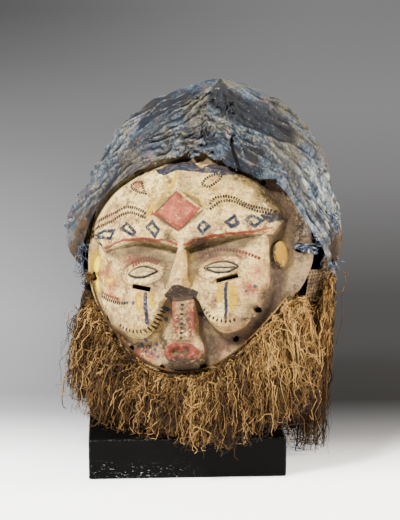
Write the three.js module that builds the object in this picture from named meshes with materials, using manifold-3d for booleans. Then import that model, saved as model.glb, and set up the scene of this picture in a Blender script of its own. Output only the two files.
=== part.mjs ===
// A carved and painted wooden initiation mask with its hood, draped cloth, raffia beard and fringe,
// held at a slant by a steel post on a black wooden block.
// Row frame: millimetres, +Z up, the block's front faces -Y, origin at the middle of the block's underside.
// Mask frame: x to the viewer's right, y towards the wearer's nape, z up the face,
// origin in the middle of the oval plate, level with the plate's side edges.
import * as THREE from "three";
import { RoundedBoxGeometry } from "three/addons/geometries/RoundedBoxGeometry.js";
import { mergeVertices } from "three/addons/utils/BufferGeometryUtils.js";
import Module from "manifold-3d";

const wasm = await Module();
wasm.setup();

// Driving dimensions of the stand
const BLOCK = { width: 222, depth: 170, height: 46, bevel: 2 };
const POST = { radius: 5, foot: 15, footHeight: 3 };
const CROSSBAR = { z: 50, radius: 4, length: 96 }; // carries the plate from behind, z in the mask frame
const GAP = 0.4; // between pieces that touch

// How the mask sits on its stand
const MASK_AT = new THREE.Vector3(16, 9, 236);
const TURN = 21; // degrees, face turned to the viewer's left
const LEAN = 18; // degrees, top of the mask leaning back
const ROLL = 7; // degrees, viewer's right side up

// Driving dimensions of the carved plate
const HALF_WIDTH = 136;
const HALF_HEIGHT = 143;
const CHIN_NARROWING = { left: 0.13, right: 0.23 }; // share of each half width lost at the chin
const BOW = 50; // how far the middle stands in front of the side edges
const FALL = 6; // how far the top and the chin stand behind the middle
const PLATE = 9; // thickness at the edge
const BACK = { halfWidth: 104, halfHeight: 112, dish: 15, wall: 8 }; // the hollow behind the face
const HOLE_RADIUS = 3.8;
const DRILL = 60; // length of what bores a hole
const SLIDE = 0.42; // share of a grid cell that a point slides to reach a carved edge
const SLIT = { length: 26, height: 5.8, tilt: 15 };
const SLITS = [[-47, -42], [52, -37]]; // middles of the two viewing slits, x and z
const LASHINGS = [ // middles of the lashing holes, x and z
  [-62, 99], [60, 92], [87, 75],
  [-101, -68], [-71, -106], [-32, -131], [18, -132], [54, -102], [80, -71],
];

// Carved features, in the mask frame; relief is measured from the plate's bowed front
const CORNER = 1.3; // what the rounded corners add where nothing is carved
const FOREHEAD = { left: 127, right: 116, from: 20, top: 105, relief: 22, crown: 0.68 };
const KEEL = { height: 6, spread: 9 };
const LOZENGE = { z: 42, halfWidth: 28, halfHeight: 24, raise: 2.5 };
const BROW = { root: -1, arch: 14, spread: 22, tilt: 0.03, ledge: 4, corner: 98, cut: 1.3 };
const LEFT_ARCH = { x: -50, rise: 5, spread: 26 };
const CHEEK = { x: 47, z: -25, outer: 53, inner: 34, drop: 71, relief: 25, rim: 19 };
const SOCKET = { inner: 5, outer: 16 };
const EYE = { x: 46, z: -24.5, halfLength: 19, halfHeight: 6.5, raise: 4.5, lid: 4 };
const NOSE = { bridge: 9, base: 25, tipZ: -42, baseZ: -60, wings: 9, top: 17, tip: 35, foot: 20, drift: 3 };
const PILLAR = { x: 2, halfWidth: 15, flare: 4, wall: 3.5, relief: 21, top: -45, bottom: -121 };
const MOUTH = { x: 0, z: -117, halfWidth: 21, halfHeight: 11.5, relief: 22, lip: 5, gap: 3 };
const CHIN = { halfWidth: 20, relief: 15, top: -109, bottom: -131 };
const EARS = { left: -114, right: 104, z: -8, halfWidth: 7, halfHeight: 16, raise: 12 };

// Driving dimensions of the hood, in a frame at the mask's place and turned with it, z from the floor.
// Angles run round the head: 0 in front, 90 at the viewer's right, 180 at the nape.
const DOME = { x: -3, y: 52, z: 199, halfWidth: 158, front: 75, back: 116, height: 236, peak: 14 };
const SQUARENESS = { front: 3, back: 2.2 }; // of the dome seen from above: 2 is an ellipse
const NECK = { from: 262, to: 186, shrink: 0.11 }; // where the dome draws in towards the neck
const HOOD = { inset: 3.5, thickness: 4, opening: 7, clear: 2.2, notch: 22 };
const CLOTH = { thickness: 3, clear: 2.5, folds: 18, foldDepth: 4 };
const HEM = [ // angle round the head, and height of the cloth's edge there
  [-180, 192], [-120, 200], [-95, 206], [-76, 206], [-70, 240], [-65, 272], [-59, 308], [-42, 336],
  [-20, 353], [4, 359], [25, 353], [45, 340], [59, 327], [67, 302], [73, 268],
  [80, 232], [92, 228], [120, 205], [180, 192],
];
const TAILS = [[-76, 13, 13], [78, 15, 9]]; // where the cloth hangs off the dome: angle, spread, reach

// Driving dimensions of the raffia and the bindings
const BEARD = { from: 112, to: 258, top: 12, bottom: 28, flare: 24, lowest: 47, ends: 98, locks: 24 };
const FRINGE = {
  from: 77, to: 280, thickness: 15, rightFlare: -10, backFlare: 8, right: 10, back: 30, left: 62, locks: 19,
};
const LOCK = 5; // how far a lock's middle stands proud of its sides
const TWINE = { radius: 1.4, inset: 6 };
const TIES = [[123, 0], [-124, -16]]; // holes at the side edges that carry a knotted strip
const TIE = { radius: 2.4, hole: 5.5, knot: 6.5 };

const RADIANS = Math.PI / 180;
const clamp = (v, low, high) => Math.min(high, Math.max(low, v));
const mix = (a, b, t) => a + (b - a) * t;
function ramp(from, to, v) {
  const t = clamp((v - from) / (to - from), 0, 1);
  return t * t * (3 - 2 * t);
}

// The larger of two heights, with the corner between them rounded.
function over(a, b, round) {
  return Math.max(a, b) + (Math.max(0, round - Math.abs(a - b)) ** 2) / (4 * round);
}

// The oval outline: the plate narrows towards the chin.
function outlineHalfWidth(x, z) {
  const narrowing = x < 0 ? CHIN_NARROWING.left : CHIN_NARROWING.right;
  return HALF_WIDTH * (1 - narrowing * ramp(0, -HALF_HEIGHT, z));
}

// The plate is cut from a round log, so it bows forward between its side edges.
function shield(x, z) {
  return BOW * (1 - (x / HALF_WIDTH) ** 2) - FALL * (z / HALF_HEIGHT) ** 2;
}

// The forehead's lower edge, which hangs over the eyes.
function browLine(x) {
  const arch = BROW.arch * (1 - Math.exp(-Math.abs(x) / BROW.spread));
  const left = LEFT_ARCH.rise * Math.exp(-(((x - LEFT_ARCH.x) / LEFT_ARCH.spread) ** 2));
  const corner = BROW.cut * Math.max(0, Math.abs(x) - BROW.corner);
  return BROW.root + arch + BROW.tilt * x + left + corner;
}

// 0 in the middle of the forehead's lower edge, 1 along its outer edge.
function foreheadRadius(x, z) {
  const up = Math.max(0, z - FOREHEAD.from) / (FOREHEAD.top - FOREHEAD.from);
  return Math.hypot(x / (x < 0 ? FOREHEAD.left : FOREHEAD.right), up);
}

// Positive inside the lozenge at the forehead's middle, 1 at its centre.
function inLozenge(x, z) {
  return 1 - Math.abs(x) / LOZENGE.halfWidth - Math.abs(z - LOZENGE.z) / LOZENGE.halfHeight;
}

function forehead(x, z) {
  const up = clamp((z - FOREHEAD.from) / (FOREHEAD.top - FOREHEAD.from), 0, 1);
  const dome = Math.sqrt(Math.max(0, 1 - foreheadRadius(x, z) ** 5)) * mix(1, FOREHEAD.crown, up);
  const fade = ramp(LOZENGE.z + 3, LOZENGE.z + 20, z) * ramp(0, 0.4, dome);
  const keel = KEEL.height * Math.exp(-Math.abs(x) / KEEL.spread) * fade;
  const root = 5 * Math.exp(-((x / 13) ** 2)) * ramp(18, -2, z);
  return FOREHEAD.relief * dome + keel - root + LOZENGE.raise * ramp(0, 0.12, inLozenge(x, z));
}

function cheekRadius(x, z) {
  const side = Math.abs(x) - CHEEK.x;
  const below = Math.max(0, CHEEK.z - z) / CHEEK.drop;
  const across = side > 0 ? side / CHEEK.outer : (-side / CHEEK.inner) * ramp(0.1, 0.5, below);
  return (across ** 1.8 + below ** 1.8) ** (1 / 1.8);
}

// The face under the brow: a socket that swells into a round cheek with a steep outer wall.
function cheek(x, z) {
  const side = Math.abs(x) - CHEEK.x;
  const socket = mix(SOCKET.inner, SOCKET.outer, ramp(20, 95, Math.abs(x)));
  const full = mix(CHEEK.relief, CHEEK.rim, clamp(side / CHEEK.outer, 0, 1));
  const swell = mix(socket, full, ramp(browLine(x) - 2, -52, z));
  return swell * Math.sqrt(Math.max(0, 1 - cheekRadius(x, z) ** 6));
}

function eye(x, z) {
  const u = (Math.abs(x) - EYE.x) / EYE.halfLength;
  const v = (z - EYE.z) / EYE.halfHeight;
  const lid = EYE.lid * Math.max(0, 1 - (u / 1.5) ** 2 - (v / 2.4) ** 2);
  const almond = 1 - u * u - Math.abs(v);
  return lid + EYE.raise * Math.sqrt(clamp(almond + 0.03, 0, 1));
}

function nose(x, z) {
  const down = clamp(z / NOSE.tipZ, 0, 1);
  const s = Math.min(1, Math.abs(x - NOSE.drift * down) / mix(NOSE.bridge, NOSE.base, down ** 1.4));
  const tipZ = NOSE.tipZ - NOSE.wings * s * s;
  const under = clamp((tipZ - z) / (tipZ - NOSE.baseZ), 0, 1);
  const height = mix(mix(NOSE.top, NOSE.tip, down), NOSE.foot, under);
  const ends = ramp(12, 2, z) * ramp(NOSE.baseZ - 4, NOSE.baseZ, z);
  return height * (1 - s ** 2.4) * ends;
}

// The bar between nose and mouth, which widens above the lips.
function pillar(x, z) {
  const halfWidth = PILLAR.halfWidth + PILLAR.flare * ramp(-95, -112, z);
  const off = Math.abs(x - PILLAR.x) - halfWidth;
  const ends = ramp(PILLAR.top + 5, PILLAR.top - 5, z) * ramp(PILLAR.bottom - 7, PILLAR.bottom + 7, z);
  return PILLAR.relief * (1 - ramp(-PILLAR.wall, PILLAR.wall, off)) * ends;
}

function mouth(x, z) {
  const u = Math.abs(x - MOUTH.x) / MOUTH.halfWidth;
  const v = Math.abs(z - MOUTH.z) / MOUTH.halfHeight;
  const r = (u ** 2.4 + v ** 2.4) ** (1 / 2.4);
  const lips = MOUTH.lip * Math.max(0, 1 - ((r - 0.78) / 0.34) ** 2);
  const gap = MOUTH.gap * Math.max(0, 1 - (u / 0.62) ** 4 - (v / 0.3) ** 2);
  return MOUTH.relief * (1 - ramp(0.95, 1.35, r)) + lips - gap;
}

function chin(x, z) {
  const across = 1 - ramp(CHIN.halfWidth - 6, CHIN.halfWidth + 6, Math.abs(x - MOUTH.x));
  const ends = ramp(CHIN.bottom - 6, CHIN.bottom + 5, z) * ramp(CHIN.top + 9, CHIN.top - 9, z);
  return CHIN.relief * across * ends;
}

function ear(x, z) {
  const at = x < 0 ? EARS.left : EARS.right;
  const r = Math.hypot((x - at) / EARS.halfWidth, (z - EARS.z) / EARS.halfHeight);
  return EARS.raise * Math.sqrt(Math.max(0, 1 - r ** 3));
}

// Height of the carved front in front of the side edges' plane.
function carved(x, z) {
  const line = browLine(x);
  const face = mix(cheek(x, z) + eye(x, z), forehead(x, z), ramp(line - BROW.ledge, line, z));
  const middle = over(nose(x, z), over(pillar(x, z), over(mouth(x, z), chin(x, z), 2), 2), 2);
  return shield(x, z) + over(over(face, middle, 3), ear(x, z), 1) - CORNER;
}

// Height of the hollowed back, which stays clear of every dip in the front.
function hollowed(x, z) {
  const inside = Math.min(1, Math.hypot(x / BACK.halfWidth, z / BACK.halfHeight));
  const dish = BACK.dish * Math.sqrt(1 - inside ** 2.5);
  const around = [-6, 0, 6];
  const near = around.flatMap((dx) => around.map((dz) => carved(x + dx, z + dz)));
  const lowest = mix(Math.min(...near) - BACK.wall, 2 * BOW, ramp(0.8, 1, inside));
  return Math.min(shield(x, z) - PLATE + dish, lowest);
}

// A square grid mapped onto the oval: u and v run from -1 to 1.
function onOval(u, v) {
  const z = HALF_HEIGHT * v * Math.sqrt(1 - (u * u) / 2);
  return [outlineHalfWidth(u, z) * u * Math.sqrt(1 - (v * v) / 2), z];
}

// The rows near the brow bend with it.
function alongBrow([x, z]) {
  const inside = ramp(1, 0.85, Math.hypot(x / HALF_WIDTH, z / HALF_HEIGHT));
  return [x, z + (browLine(x) - 8) * Math.exp(-(((z - 8) / 26) ** 2)) * inside];
}

// Rows crowd towards the eyes and columns towards the nose.
function crowd(t, power, at) {
  const reach = t > at ? 1 - at : 1 + at;
  return at + Math.sign(t - at) * reach * (Math.abs(t - at) / reach) ** power;
}

function geometryOf(points, faces) {
  const geometry = new THREE.BufferGeometry();
  geometry.setAttribute("position", new THREE.Float32BufferAttribute(points.flat(), 3));
  geometry.setIndex(faces.flat());
  return geometry;
}

// Only the positions and the faces, so that equal points can be merged.
function bare(geometry) {
  const only = new THREE.BufferGeometry();
  only.setAttribute("position", geometry.getAttribute("position"));
  only.setIndex(geometry.index);
  return only;
}

function solidOf(geometry) {
  const merged = mergeVertices(bare(geometry), 1e-4);
  return new wasm.Manifold(new wasm.Mesh({
    numProp: 3,
    vertProperties: merged.attributes.position.array,
    triVerts: new Uint32Array(merged.index.array),
  }));
}

function geometryFrom(solid) {
  const mesh = solid.getMesh();
  const geometry = new THREE.BufferGeometry();
  geometry.setAttribute("position", new THREE.Float32BufferAttribute(mesh.vertProperties, 3));
  geometry.setIndex([...mesh.triVerts]);
  return geometry;
}

// Carved edges that grid points slide onto: each function is zero on its edge and measured in mm.
const FAR = 1e3; // where an edge doesn't reach
const EDGES = [
  (x, z) => z - browLine(x),
  (x, z) => z - browLine(x) + BROW.ledge,
  (x, z) => FOREHEAD.top * (foreheadRadius(x, z) - 1),
  (x, z) => LOZENGE.halfHeight * inLozenge(x, z),
  (x, z) => (z < PILLAR.top ? Math.abs(x - PILLAR.x) - PILLAR.halfWidth - PILLAR.wall : FAR),
  (x, z) => (z < CHEEK.z ? CHEEK.outer * (cheekRadius(x, z) - 1) : FAR),
  (x, z) => (z > NOSE.baseZ - 6 ? z - NOSE.tipZ : FAR) + Math.max(0, Math.abs(x) - NOSE.base),
];

function slide([x, z], reach) {
  const step = 0.05;
  let best = reach;
  let moved = [x, z];
  for (const edge of EDGES) {
    const value = edge(x, z);
    const dx = (edge(x + step, z) - edge(x - step, z)) / (2 * step);
    const dz = (edge(x, z + step) - edge(x, z - step)) / (2 * step);
    const slope = dx * dx + dz * dz;
    const away = Math.abs(value) / Math.sqrt(slope);
    if (slope > 0.01 && away < best) {
      best = away;
      moved = [x - (value * dx) / slope, z - (value * dz) / slope];
    }
  }
  return moved;
}

// The plate: a fine carved front, a coarse hollowed back, and an edge that joins them.
// Grown outwards and forwards, the same skin cuts the pieces that lie behind it.
function plateGeometry(grow = 0, forward = 0) {
  const columns = 40;
  const rows = 48;
  const step = 4; // cells of the front for each cell of the back
  const spread = 1 + grow / HALF_WIDTH;
  const points = [];
  const faces = [];
  const at = (i, j) => {
    const u = crowd(-1 + (2 * i) / columns, 1.25, 0);
    const v = crowd(-1 + (2 * j) / rows, 1.2, -0.2);
    return alongBrow(onOval(u, v));
  };
  for (let j = 0; j <= rows; j++) {
    for (let i = 0; i <= columns; i++) {
      const edge = i === 0 || j === 0 || i === columns || j === rows;
      const [x, z] = at(i, j);
      const near = edge ? [] : [at(i + 1, j), at(i, j + 1), at(i - 1, j), at(i, j - 1)];
      const room = Math.min(...near.map(([a, b]) => Math.hypot(a - x, b - z)));
      const [sx, sz] = edge ? [x, z] : slide([x, z], SLIDE * room);
      points.push([sx * spread, -carved(sx, sz) - forward, sz * spread]);
    }
  }
  const front = (i, j) => j * (columns + 1) + i;
  const backStart = points.length;
  for (let j = 0; j <= rows; j += step) {
    for (let i = 0; i <= columns; i += step) {
      const [x, z] = at(i, j);
      points.push([x * spread, -hollowed(x, z) + grow, z * spread]);
    }
  }
  const back = (i, j) => backStart + (j / step) * (columns / step + 1) + i / step;
  // Each quad is split along the diagonal that lies closer to the carving.
  const misfit = (p, q) => Math.abs((points[p][1] + points[q][1]) / 2
    + carved((points[p][0] + points[q][0]) / 2, (points[p][2] + points[q][2]) / 2));
  for (let j = 0; j < rows; j++) {
    for (let i = 0; i < columns; i++) {
      const [a, b, c, d] = [front(i, j), front(i + 1, j), front(i + 1, j + 1), front(i, j + 1)];
      faces.push(...(misfit(a, c) < misfit(b, d) ? [[a, b, c], [a, c, d]] : [[a, b, d], [b, c, d]]));
    }
  }
  for (let j = 0; j < rows; j += step) {
    for (let i = 0; i < columns; i += step) {
      faces.push([back(i, j), back(i + step, j + step), back(i + step, j)]);
      faces.push([back(i, j), back(i, j + step), back(i + step, j + step)]);
    }
  }
  const edge = [];
  for (let i = 0; i < columns; i++) edge.push([i, 0]);
  for (let j = 0; j < rows; j++) edge.push([columns, j]);
  for (let i = columns; i > 0; i--) edge.push([i, rows]);
  for (let j = rows; j > 0; j--) edge.push([0, j]);
  edge.forEach(([i, j], k) => {
    const next = edge[(k + 1) % edge.length];
    const start = edge[k - (k % step)];
    faces.push([front(i, j), back(...start), front(...next)]);
    if (k % step === step - 1) faces.push([front(...next), back(...start), back(...next)]);
  });
  return geometryOf(points, faces);
}

// What bores the lashing holes, the tie holes and the slits.
function drills() {
  const drill = (radius) => ([x, z]) =>
    new THREE.CylinderGeometry(radius, radius, DRILL, 10).translate(x, -shield(x, z), z);
  const holes = [...LASHINGS.map(drill(HOLE_RADIUS)), ...TIES.map(drill(TIE.hole))];
  const slits = SLITS.map(([x, z]) =>
    new THREE.BoxGeometry(SLIT.length, 2 * DRILL, SLIT.height)
      .rotateY(-Math.sign(x) * SLIT.tilt * RADIANS)
      .translate(x, -shield(x, z), z));
  return [...holes, ...slits];
}

function maskSolid() {
  return drills().reduce((solid, drill) => solid.subtract(solidOf(drill)), solidOf(plateGeometry()));
}

// A skin through matching loops of points, closed at its ends or, for a ring, on itself.
function loft(loops, ring = false) {
  const size = loops[0].length;
  const faces = [];
  const at = (i, k) => (i % loops.length) * size + (k % size);
  for (let i = 0; i < loops.length - (ring ? 0 : 1); i++) {
    for (let k = 0; k < size; k++) {
      faces.push([at(i, k), at(i + 1, k), at(i + 1, k + 1)]);
      faces.push([at(i, k), at(i + 1, k + 1), at(i, k + 1)]);
    }
  }
  for (let k = 0; !ring && k < size / 2 - 1; k++) {
    const last = loops.length - 1;
    faces.push([at(0, k), at(0, k + 1), at(0, size - 2 - k)]);
    faces.push([at(0, k), at(0, size - 2 - k), at(0, size - 1 - k)]);
    faces.push([at(last, k), at(last, size - 2 - k), at(last, k + 1)]);
    faces.push([at(last, k), at(last, size - 1 - k), at(last, size - 2 - k)]);
  }
  return outward(geometryOf(loops.flat(), faces));
}

// Merges points, drops flat triangles and turns the faces outwards.
function outward(geometry) {
  const merged = mergeVertices(geometry, 1e-4);
  const [p, q, r] = [new THREE.Vector3(), new THREE.Vector3(), new THREE.Vector3()];
  const kept = [];
  let volume = 0;
  for (let i = 0; i < merged.index.count; i += 3) {
    const [a, b, c] = [0, 1, 2].map((k) => merged.index.getX(i + k));
    if (a === b || b === c || c === a) continue;
    kept.push(a, b, c);
    [p, q, r].forEach((v, k) => v.fromBufferAttribute(merged.attributes.position, [a, b, c][k]));
    volume += p.dot(q.cross(r));
  }
  merged.setIndex(volume < 0 ? kept.reverse() : kept);
  return merged;
}

// The mask's place, and the hood's, which is only turned.
const mask = new THREE.Group();
mask.position.copy(MASK_AT);
mask.rotation.set(-LEAN * RADIANS, -ROLL * RADIANS, -TURN * RADIANS, "ZXY");
mask.updateMatrixWorld();
const head = new THREE.Group();
head.position.set(MASK_AT.x, MASK_AT.y, 0);
head.rotation.z = -TURN * RADIANS;
head.updateMatrixWorld();
const headToMask = mask.matrixWorld.clone().invert().multiply(head.matrixWorld);

function inPlate(point, clear) {
  const { x, y, z } = point.applyMatrix4(headToMask);
  const reach = 1 + clear / HALF_WIDTH;
  const r = Math.hypot(x / outlineHalfWidth(x, z), z / HALF_HEIGHT);
  return r < reach && -y < carved(x, z) + clear && -y > shield(x, z) - PLATE - clear;
}

// Distance of the dome from its upright axis.
function domeRadius(angle, z) {
  const a = angle * RADIANS;
  const rise = Math.max(0, z - DOME.z) / DOME.height;
  const shrink = Math.sqrt(Math.max(0, 1 - rise ** 2)) * (1 - NECK.shrink * ramp(NECK.from, NECK.to, z));
  const end = Math.cos(a) > 0 ? "front" : "back";
  const power = SQUARENESS[end];
  const depth = DOME[end];
  const across = (Math.abs(Math.sin(a)) / DOME.halfWidth) ** power;
  return shrink * (across + (Math.abs(Math.cos(a)) / depth) ** power) ** (-1 / power);
}

function aroundHead(angle, radius, z) {
  const a = angle * RADIANS;
  const x = DOME.x + DOME.peak * clamp((z - DOME.z) / DOME.height, 0, 1) ** 3;
  return new THREE.Vector3(x + radius * Math.sin(a), DOME.y - radius * Math.cos(a), z);
}

// The cloth lies on the dome, or on the plate where the plate stands further out.
function drapeRadius(angle, z) {
  const dome = domeRadius(angle, z);
  for (let radius = 170; radius > dome; radius -= 1) {
    const touches = [-9, 0, 9].some((dz) => [-4, 0, 4].some((da) =>
      inPlate(aroundHead(angle + da, radius, z + dz), CLOTH.clear)));
    if (touches) return radius;
  }
  return dome;
}

// An angle brought between -180 and 180.
function turned(angle) {
  return ((angle + 540) % 360) - 180;
}

function hemHeight(angle) {
  const at = turned(angle);
  const next = HEM.findIndex(([a]) => a > at);
  const [[a0, z0], [a1, z1]] = [HEM[next - 1], HEM[next]];
  return mix(z0, z1, (at - a0) / (a1 - a0));
}

// A skin round the head from the crown down to the lowest line, closed over the top.
function shellOf(columns, rows, radiusAt, thickness, lowest) {
  const loops = [];
  const top = DOME.z + DOME.height;
  for (let i = 0; i < columns; i++) {
    const angle = (360 * i) / columns;
    const outer = [];
    const inner = [];
    for (let j = 0; j <= rows; j++) {
      const z = mix(top, lowest(angle), (j / rows) ** 1.6);
      const { inside, outside } = radiusAt(angle, z);
      outer.push(aroundHead(angle, j === 0 ? 0 : outside, j === 0 ? top + thickness : z).toArray());
      inner.unshift(aroundHead(angle, j === 0 ? 0 : inside, j === 0 ? top : z).toArray());
    }
    loops.push([...outer, ...inner]);
  }
  return loft(loops, true);
}

function clothGeometry() {
  return shellOf(36, 8, (angle, z) => {
    const inside = drapeRadius(angle, z);
    const fold = 0.5 + 0.5 * Math.cos(CLOTH.folds * angle * RADIANS);
    const tail = TAILS.reduce((sum, [at, spread, reach]) =>
      sum + reach * Math.exp(-((turned(angle - at) / spread) ** 2)) * ramp(340, 250, z), 0);
    const outside = inside + tail + CLOTH.thickness + CLOTH.foldDepth * fold * ramp(420, 260, z);
    return { inside: inside + tail * 0.8, outside };
  }, CLOTH.thickness, hemHeight);
}

// The hood is a dome that closes on the plate's rim and stays open for the wearer's face and neck.
function hoodGeometry() {
  const shell = shellOf(28, 6, (angle, z) => {
    const outside = domeRadius(angle, z) - HOOD.inset;
    return { inside: Math.max(0, outside - HOOD.thickness), outside };
  }, -HOOD.inset, () => NECK.to);
  const onMask = (geometry) => solidOf(outward(geometry.applyMatrix4(headToMask.clone().invert())));
  const face = new THREE.CylinderGeometry(1, 1, 2.6 * BOW, 40)
    .scale(HALF_WIDTH - HOOD.opening, 1, HALF_HEIGHT - HOOD.opening)
    .translate(0, -BOW / 2, 0);
  const notches = TIES.map(([x, z]) => onMask(
    new THREE.CylinderGeometry(HOOD.notch, HOOD.notch, 80, 8).translate(x * 1.06, -shield(x, z), z)));
  const cuts = [onMask(face), onMask(plateGeometry(HOOD.clear, DRILL)), ...notches];
  return geometryFrom(cuts.reduce((solid, cut) => solid.subtract(cut), solidOf(shell)));
}

// A point of the plate's lower or side rim in the row frame, and the way the raffia falls from it.
// Angles run round the plate from its top: 90 at the viewer's right, 180 at the chin.
function rim(angle, inset, height) {
  const a = angle * RADIANS;
  const z = (HALF_HEIGHT - inset) * Math.cos(a);
  const x = (outlineHalfWidth(Math.sin(a), z) - inset) * Math.sin(a);
  const point = new THREE.Vector3(x, -carved(x, z) - height, z).applyMatrix4(mask.matrixWorld);
  const away = new THREE.Vector3(Math.sin(a), -0.6, Math.cos(a)).transformDirection(mask.matrixWorld);
  away.z = 0;
  return { point, away: away.normalize() };
}

// Locks of raffia hang between an inner and an outer line.
function hanging(inner, outer, away, bottom, flare, thickness, lock, bulge) {
  const levels = [0, 0.25, 0.6, 1];
  const line = (from, extra) => levels.map((t) => {
    const out = flare * Math.sin((t * Math.PI) / 2) + bulge * Math.sin(t * Math.PI) + extra * t;
    return [from.x + away.x * out, from.y + away.y * out, mix(from.z, bottom, t)];
  });
  return [...line(outer, thickness + lock), ...line(inner, 0).reverse()];
}

function beardGeometry() {
  const loops = [];
  for (let i = 0; i <= 2 * BEARD.locks; i++) {
    const t = i / (2 * BEARD.locks);
    const angle = mix(BEARD.from, BEARD.to, t);
    const { point: outer, away } = rim(angle, -GAP - 1, 4);
    const { point: inner } = rim(angle, -GAP - 1, 4 - BEARD.top);
    const bottom = mix(BEARD.lowest, BEARD.ends, Math.abs(2 * t - 1) ** 3);
    const spread = BEARD.bottom - BEARD.top;
    const lock = i % 2 ? LOCK : 0;
    loops.push(hanging(inner, outer, away, bottom, BEARD.flare, spread, lock, 4));
  }
  return loft(loops);
}

function fringeGeometry() {
  const loops = [];
  const top = NECK.to - GAP;
  for (let i = 0; i <= 2 * FRINGE.locks; i++) {
    const t = i / (2 * FRINGE.locks);
    const angle = mix(FRINGE.from, FRINGE.to, t);
    const inside = domeRadius(angle, top) - HOOD.inset - HOOD.thickness - 1;
    const outer = aroundHead(angle, inside + FRINGE.thickness * 0.6, top);
    const inner = aroundHead(angle, inside, top);
    const away = new THREE.Vector3(Math.sin(angle * RADIANS), -Math.cos(angle * RADIANS), 0);
    const toBack = mix(FRINGE.right, FRINGE.back, clamp(2 * t, 0, 1));
    const bottom = mix(toBack, FRINGE.left, clamp(2 * t - 1, 0, 1));
    const flare = mix(FRINGE.rightFlare, FRINGE.backFlare, ramp(0, 0.35, t));
    const lock = i % 2 ? LOCK : 0;
    loops.push(hanging(inner, outer, away, bottom, flare, FRINGE.thickness * 0.6, lock, 3));
  }
  return loft(loops);
}

// A round cord through a list of points.
function cord(points, radius, sides, ring = false) {
  const path = new THREE.CatmullRomCurve3(points, ring);
  const section = new THREE.Shape().absarc(0, 0, radius, 0, 2 * Math.PI);
  const steps = ring ? points.length * 2 : points.length - 1;
  const sectionPoints = section.getPoints(sides).slice(0, sides);
  const tube = new THREE.ExtrudeGeometry(new THREE.Shape(sectionPoints), { steps, extrudePath: path });
  return outward(bare(tube));
}

function twineGeometry() {
  const points = [];
  for (let angle = BEARD.from; angle <= BEARD.to; angle += 6) {
    points.push(rim(angle, TWINE.inset, TWINE.radius + 3 * GAP).point);
  }
  return cord(points, TWINE.radius, 5);
}

// A strip knotted through a hole and round the plate's side edge, in the mask frame.
function tieGeometry([x, z]) {
  const side = Math.sign(x);
  const edge = outlineHalfWidth(x, z) * Math.sqrt(1 - (z / HALF_HEIGHT) ** 2) + TIE.radius + 4 * GAP;
  const middle = (Math.abs(x) + edge) / 2;
  const front = (at) => -shield(at, z) - TIE.radius - 3 * GAP;
  const back = (at) => -shield(at, z) + PLATE + TIE.radius + 2 * GAP;
  const inner = Math.abs(x);
  const points = [
    [inner + 1, front(x) - 1], [middle, front(middle) - 2], [edge - 1, front(edge) + 1],
    [edge + 1.5, (front(edge) + back(edge)) / 2], [edge - 1, back(edge) - 1], [middle, back(middle) + 2],
    [inner + 1, back(x) + 1], [inner, (front(x) + back(x)) / 2],
  ].map(([px, py]) => new THREE.Vector3(side * px, py, z));
  const knot = new THREE.SphereGeometry(TIE.knot, 8, 5).scale(1, 0.7, 1)
    .translate(side * middle, front(middle) - TIE.knot * 0.7 - 1, z);
  return geometryFrom(solidOf(cord(points, TIE.radius, 5, true)).add(solidOf(outward(bare(knot)))));
}

function blockGeometry() {
  return new RoundedBoxGeometry(BLOCK.width, BLOCK.depth, BLOCK.height, 1, BLOCK.bevel)
    .translate(0, 0, BLOCK.height / 2);
}

// The post carries a bar that bears on the back of the forehead.
function standGeometry() {
  const half = CROSSBAR.length / 2;
  const y = -hollowed(half, CROSSBAR.z) + CROSSBAR.radius + 2 * GAP;
  const middle = new THREE.Vector3(0, y, CROSSBAR.z).applyMatrix4(mask.matrixWorld);
  const bar = new THREE.CylinderGeometry(CROSSBAR.radius, CROSSBAR.radius, CROSSBAR.length, 12)
    .rotateZ(Math.PI / 2).translate(0, y, CROSSBAR.z).applyMatrix4(mask.matrixWorld);
  const profile = [
    [0, BLOCK.height], [POST.foot, BLOCK.height], [POST.foot, BLOCK.height + POST.footHeight],
    [POST.radius, BLOCK.height + POST.footHeight], [POST.radius, middle.z], [0, middle.z],
  ].map(([r, z]) => new THREE.Vector2(r, z));
  const post = new THREE.LatheGeometry(profile, 16).rotateX(Math.PI / 2).translate(middle.x, middle.y, 0);
  return geometryFrom(solidOf(outward(bare(post))).add(solidOf(outward(bare(bar)))));
}

function material(color, roughness, metalness = 0) {
  return new THREE.MeshStandardMaterial({ color, roughness, metalness });
}

function piece(name, geometry, look) {
  const mesh = new THREE.Mesh(geometry, look);
  mesh.name = name;
  return mesh;
}

const whitePaint = material(0xcdbfa6, 0.85);
const indigoCloth = material(0x51607a, 0.9);
const brownFibre = material(0x4a3524, 0.9);
const paleRaffia = material(0xa88450, 0.85);
const darkCloth = material(0x2b3140, 0.9);
const blackPaint = material(0x141414, 0.55);
const steel = material(0x2a2a2a, 0.45, 0.9);

mask.add(
  piece("mask", geometryFrom(maskSolid()), whitePaint),
  piece("right_tie", tieGeometry(TIES[0]), darkCloth),
  piece("left_tie", tieGeometry(TIES[1]), paleRaffia),
);
head.add(
  piece("hood", hoodGeometry(), brownFibre),
  piece("head_cloth", clothGeometry(), indigoCloth),
  piece("neck_fringe", fringeGeometry(), paleRaffia),
);
const root = new THREE.Group();
root.add(
  mask,
  head,
  piece("raffia_beard", beardGeometry(), paleRaffia),
  piece("rim_twine", twineGeometry(), brownFibre),
  piece("stand_post", standGeometry(), steel),
  piece("stand_block", blockGeometry(), blackPaint),
);
export default root;
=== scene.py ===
# The looks of a carved and painted initiation mask with its hood, head cloth and raffia, on its stand.
# Sizes are in millimetres, and MM brings them to the frame's metres.
import math

import bpy
import numpy as np
from mathutils import Matrix, Vector


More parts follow.
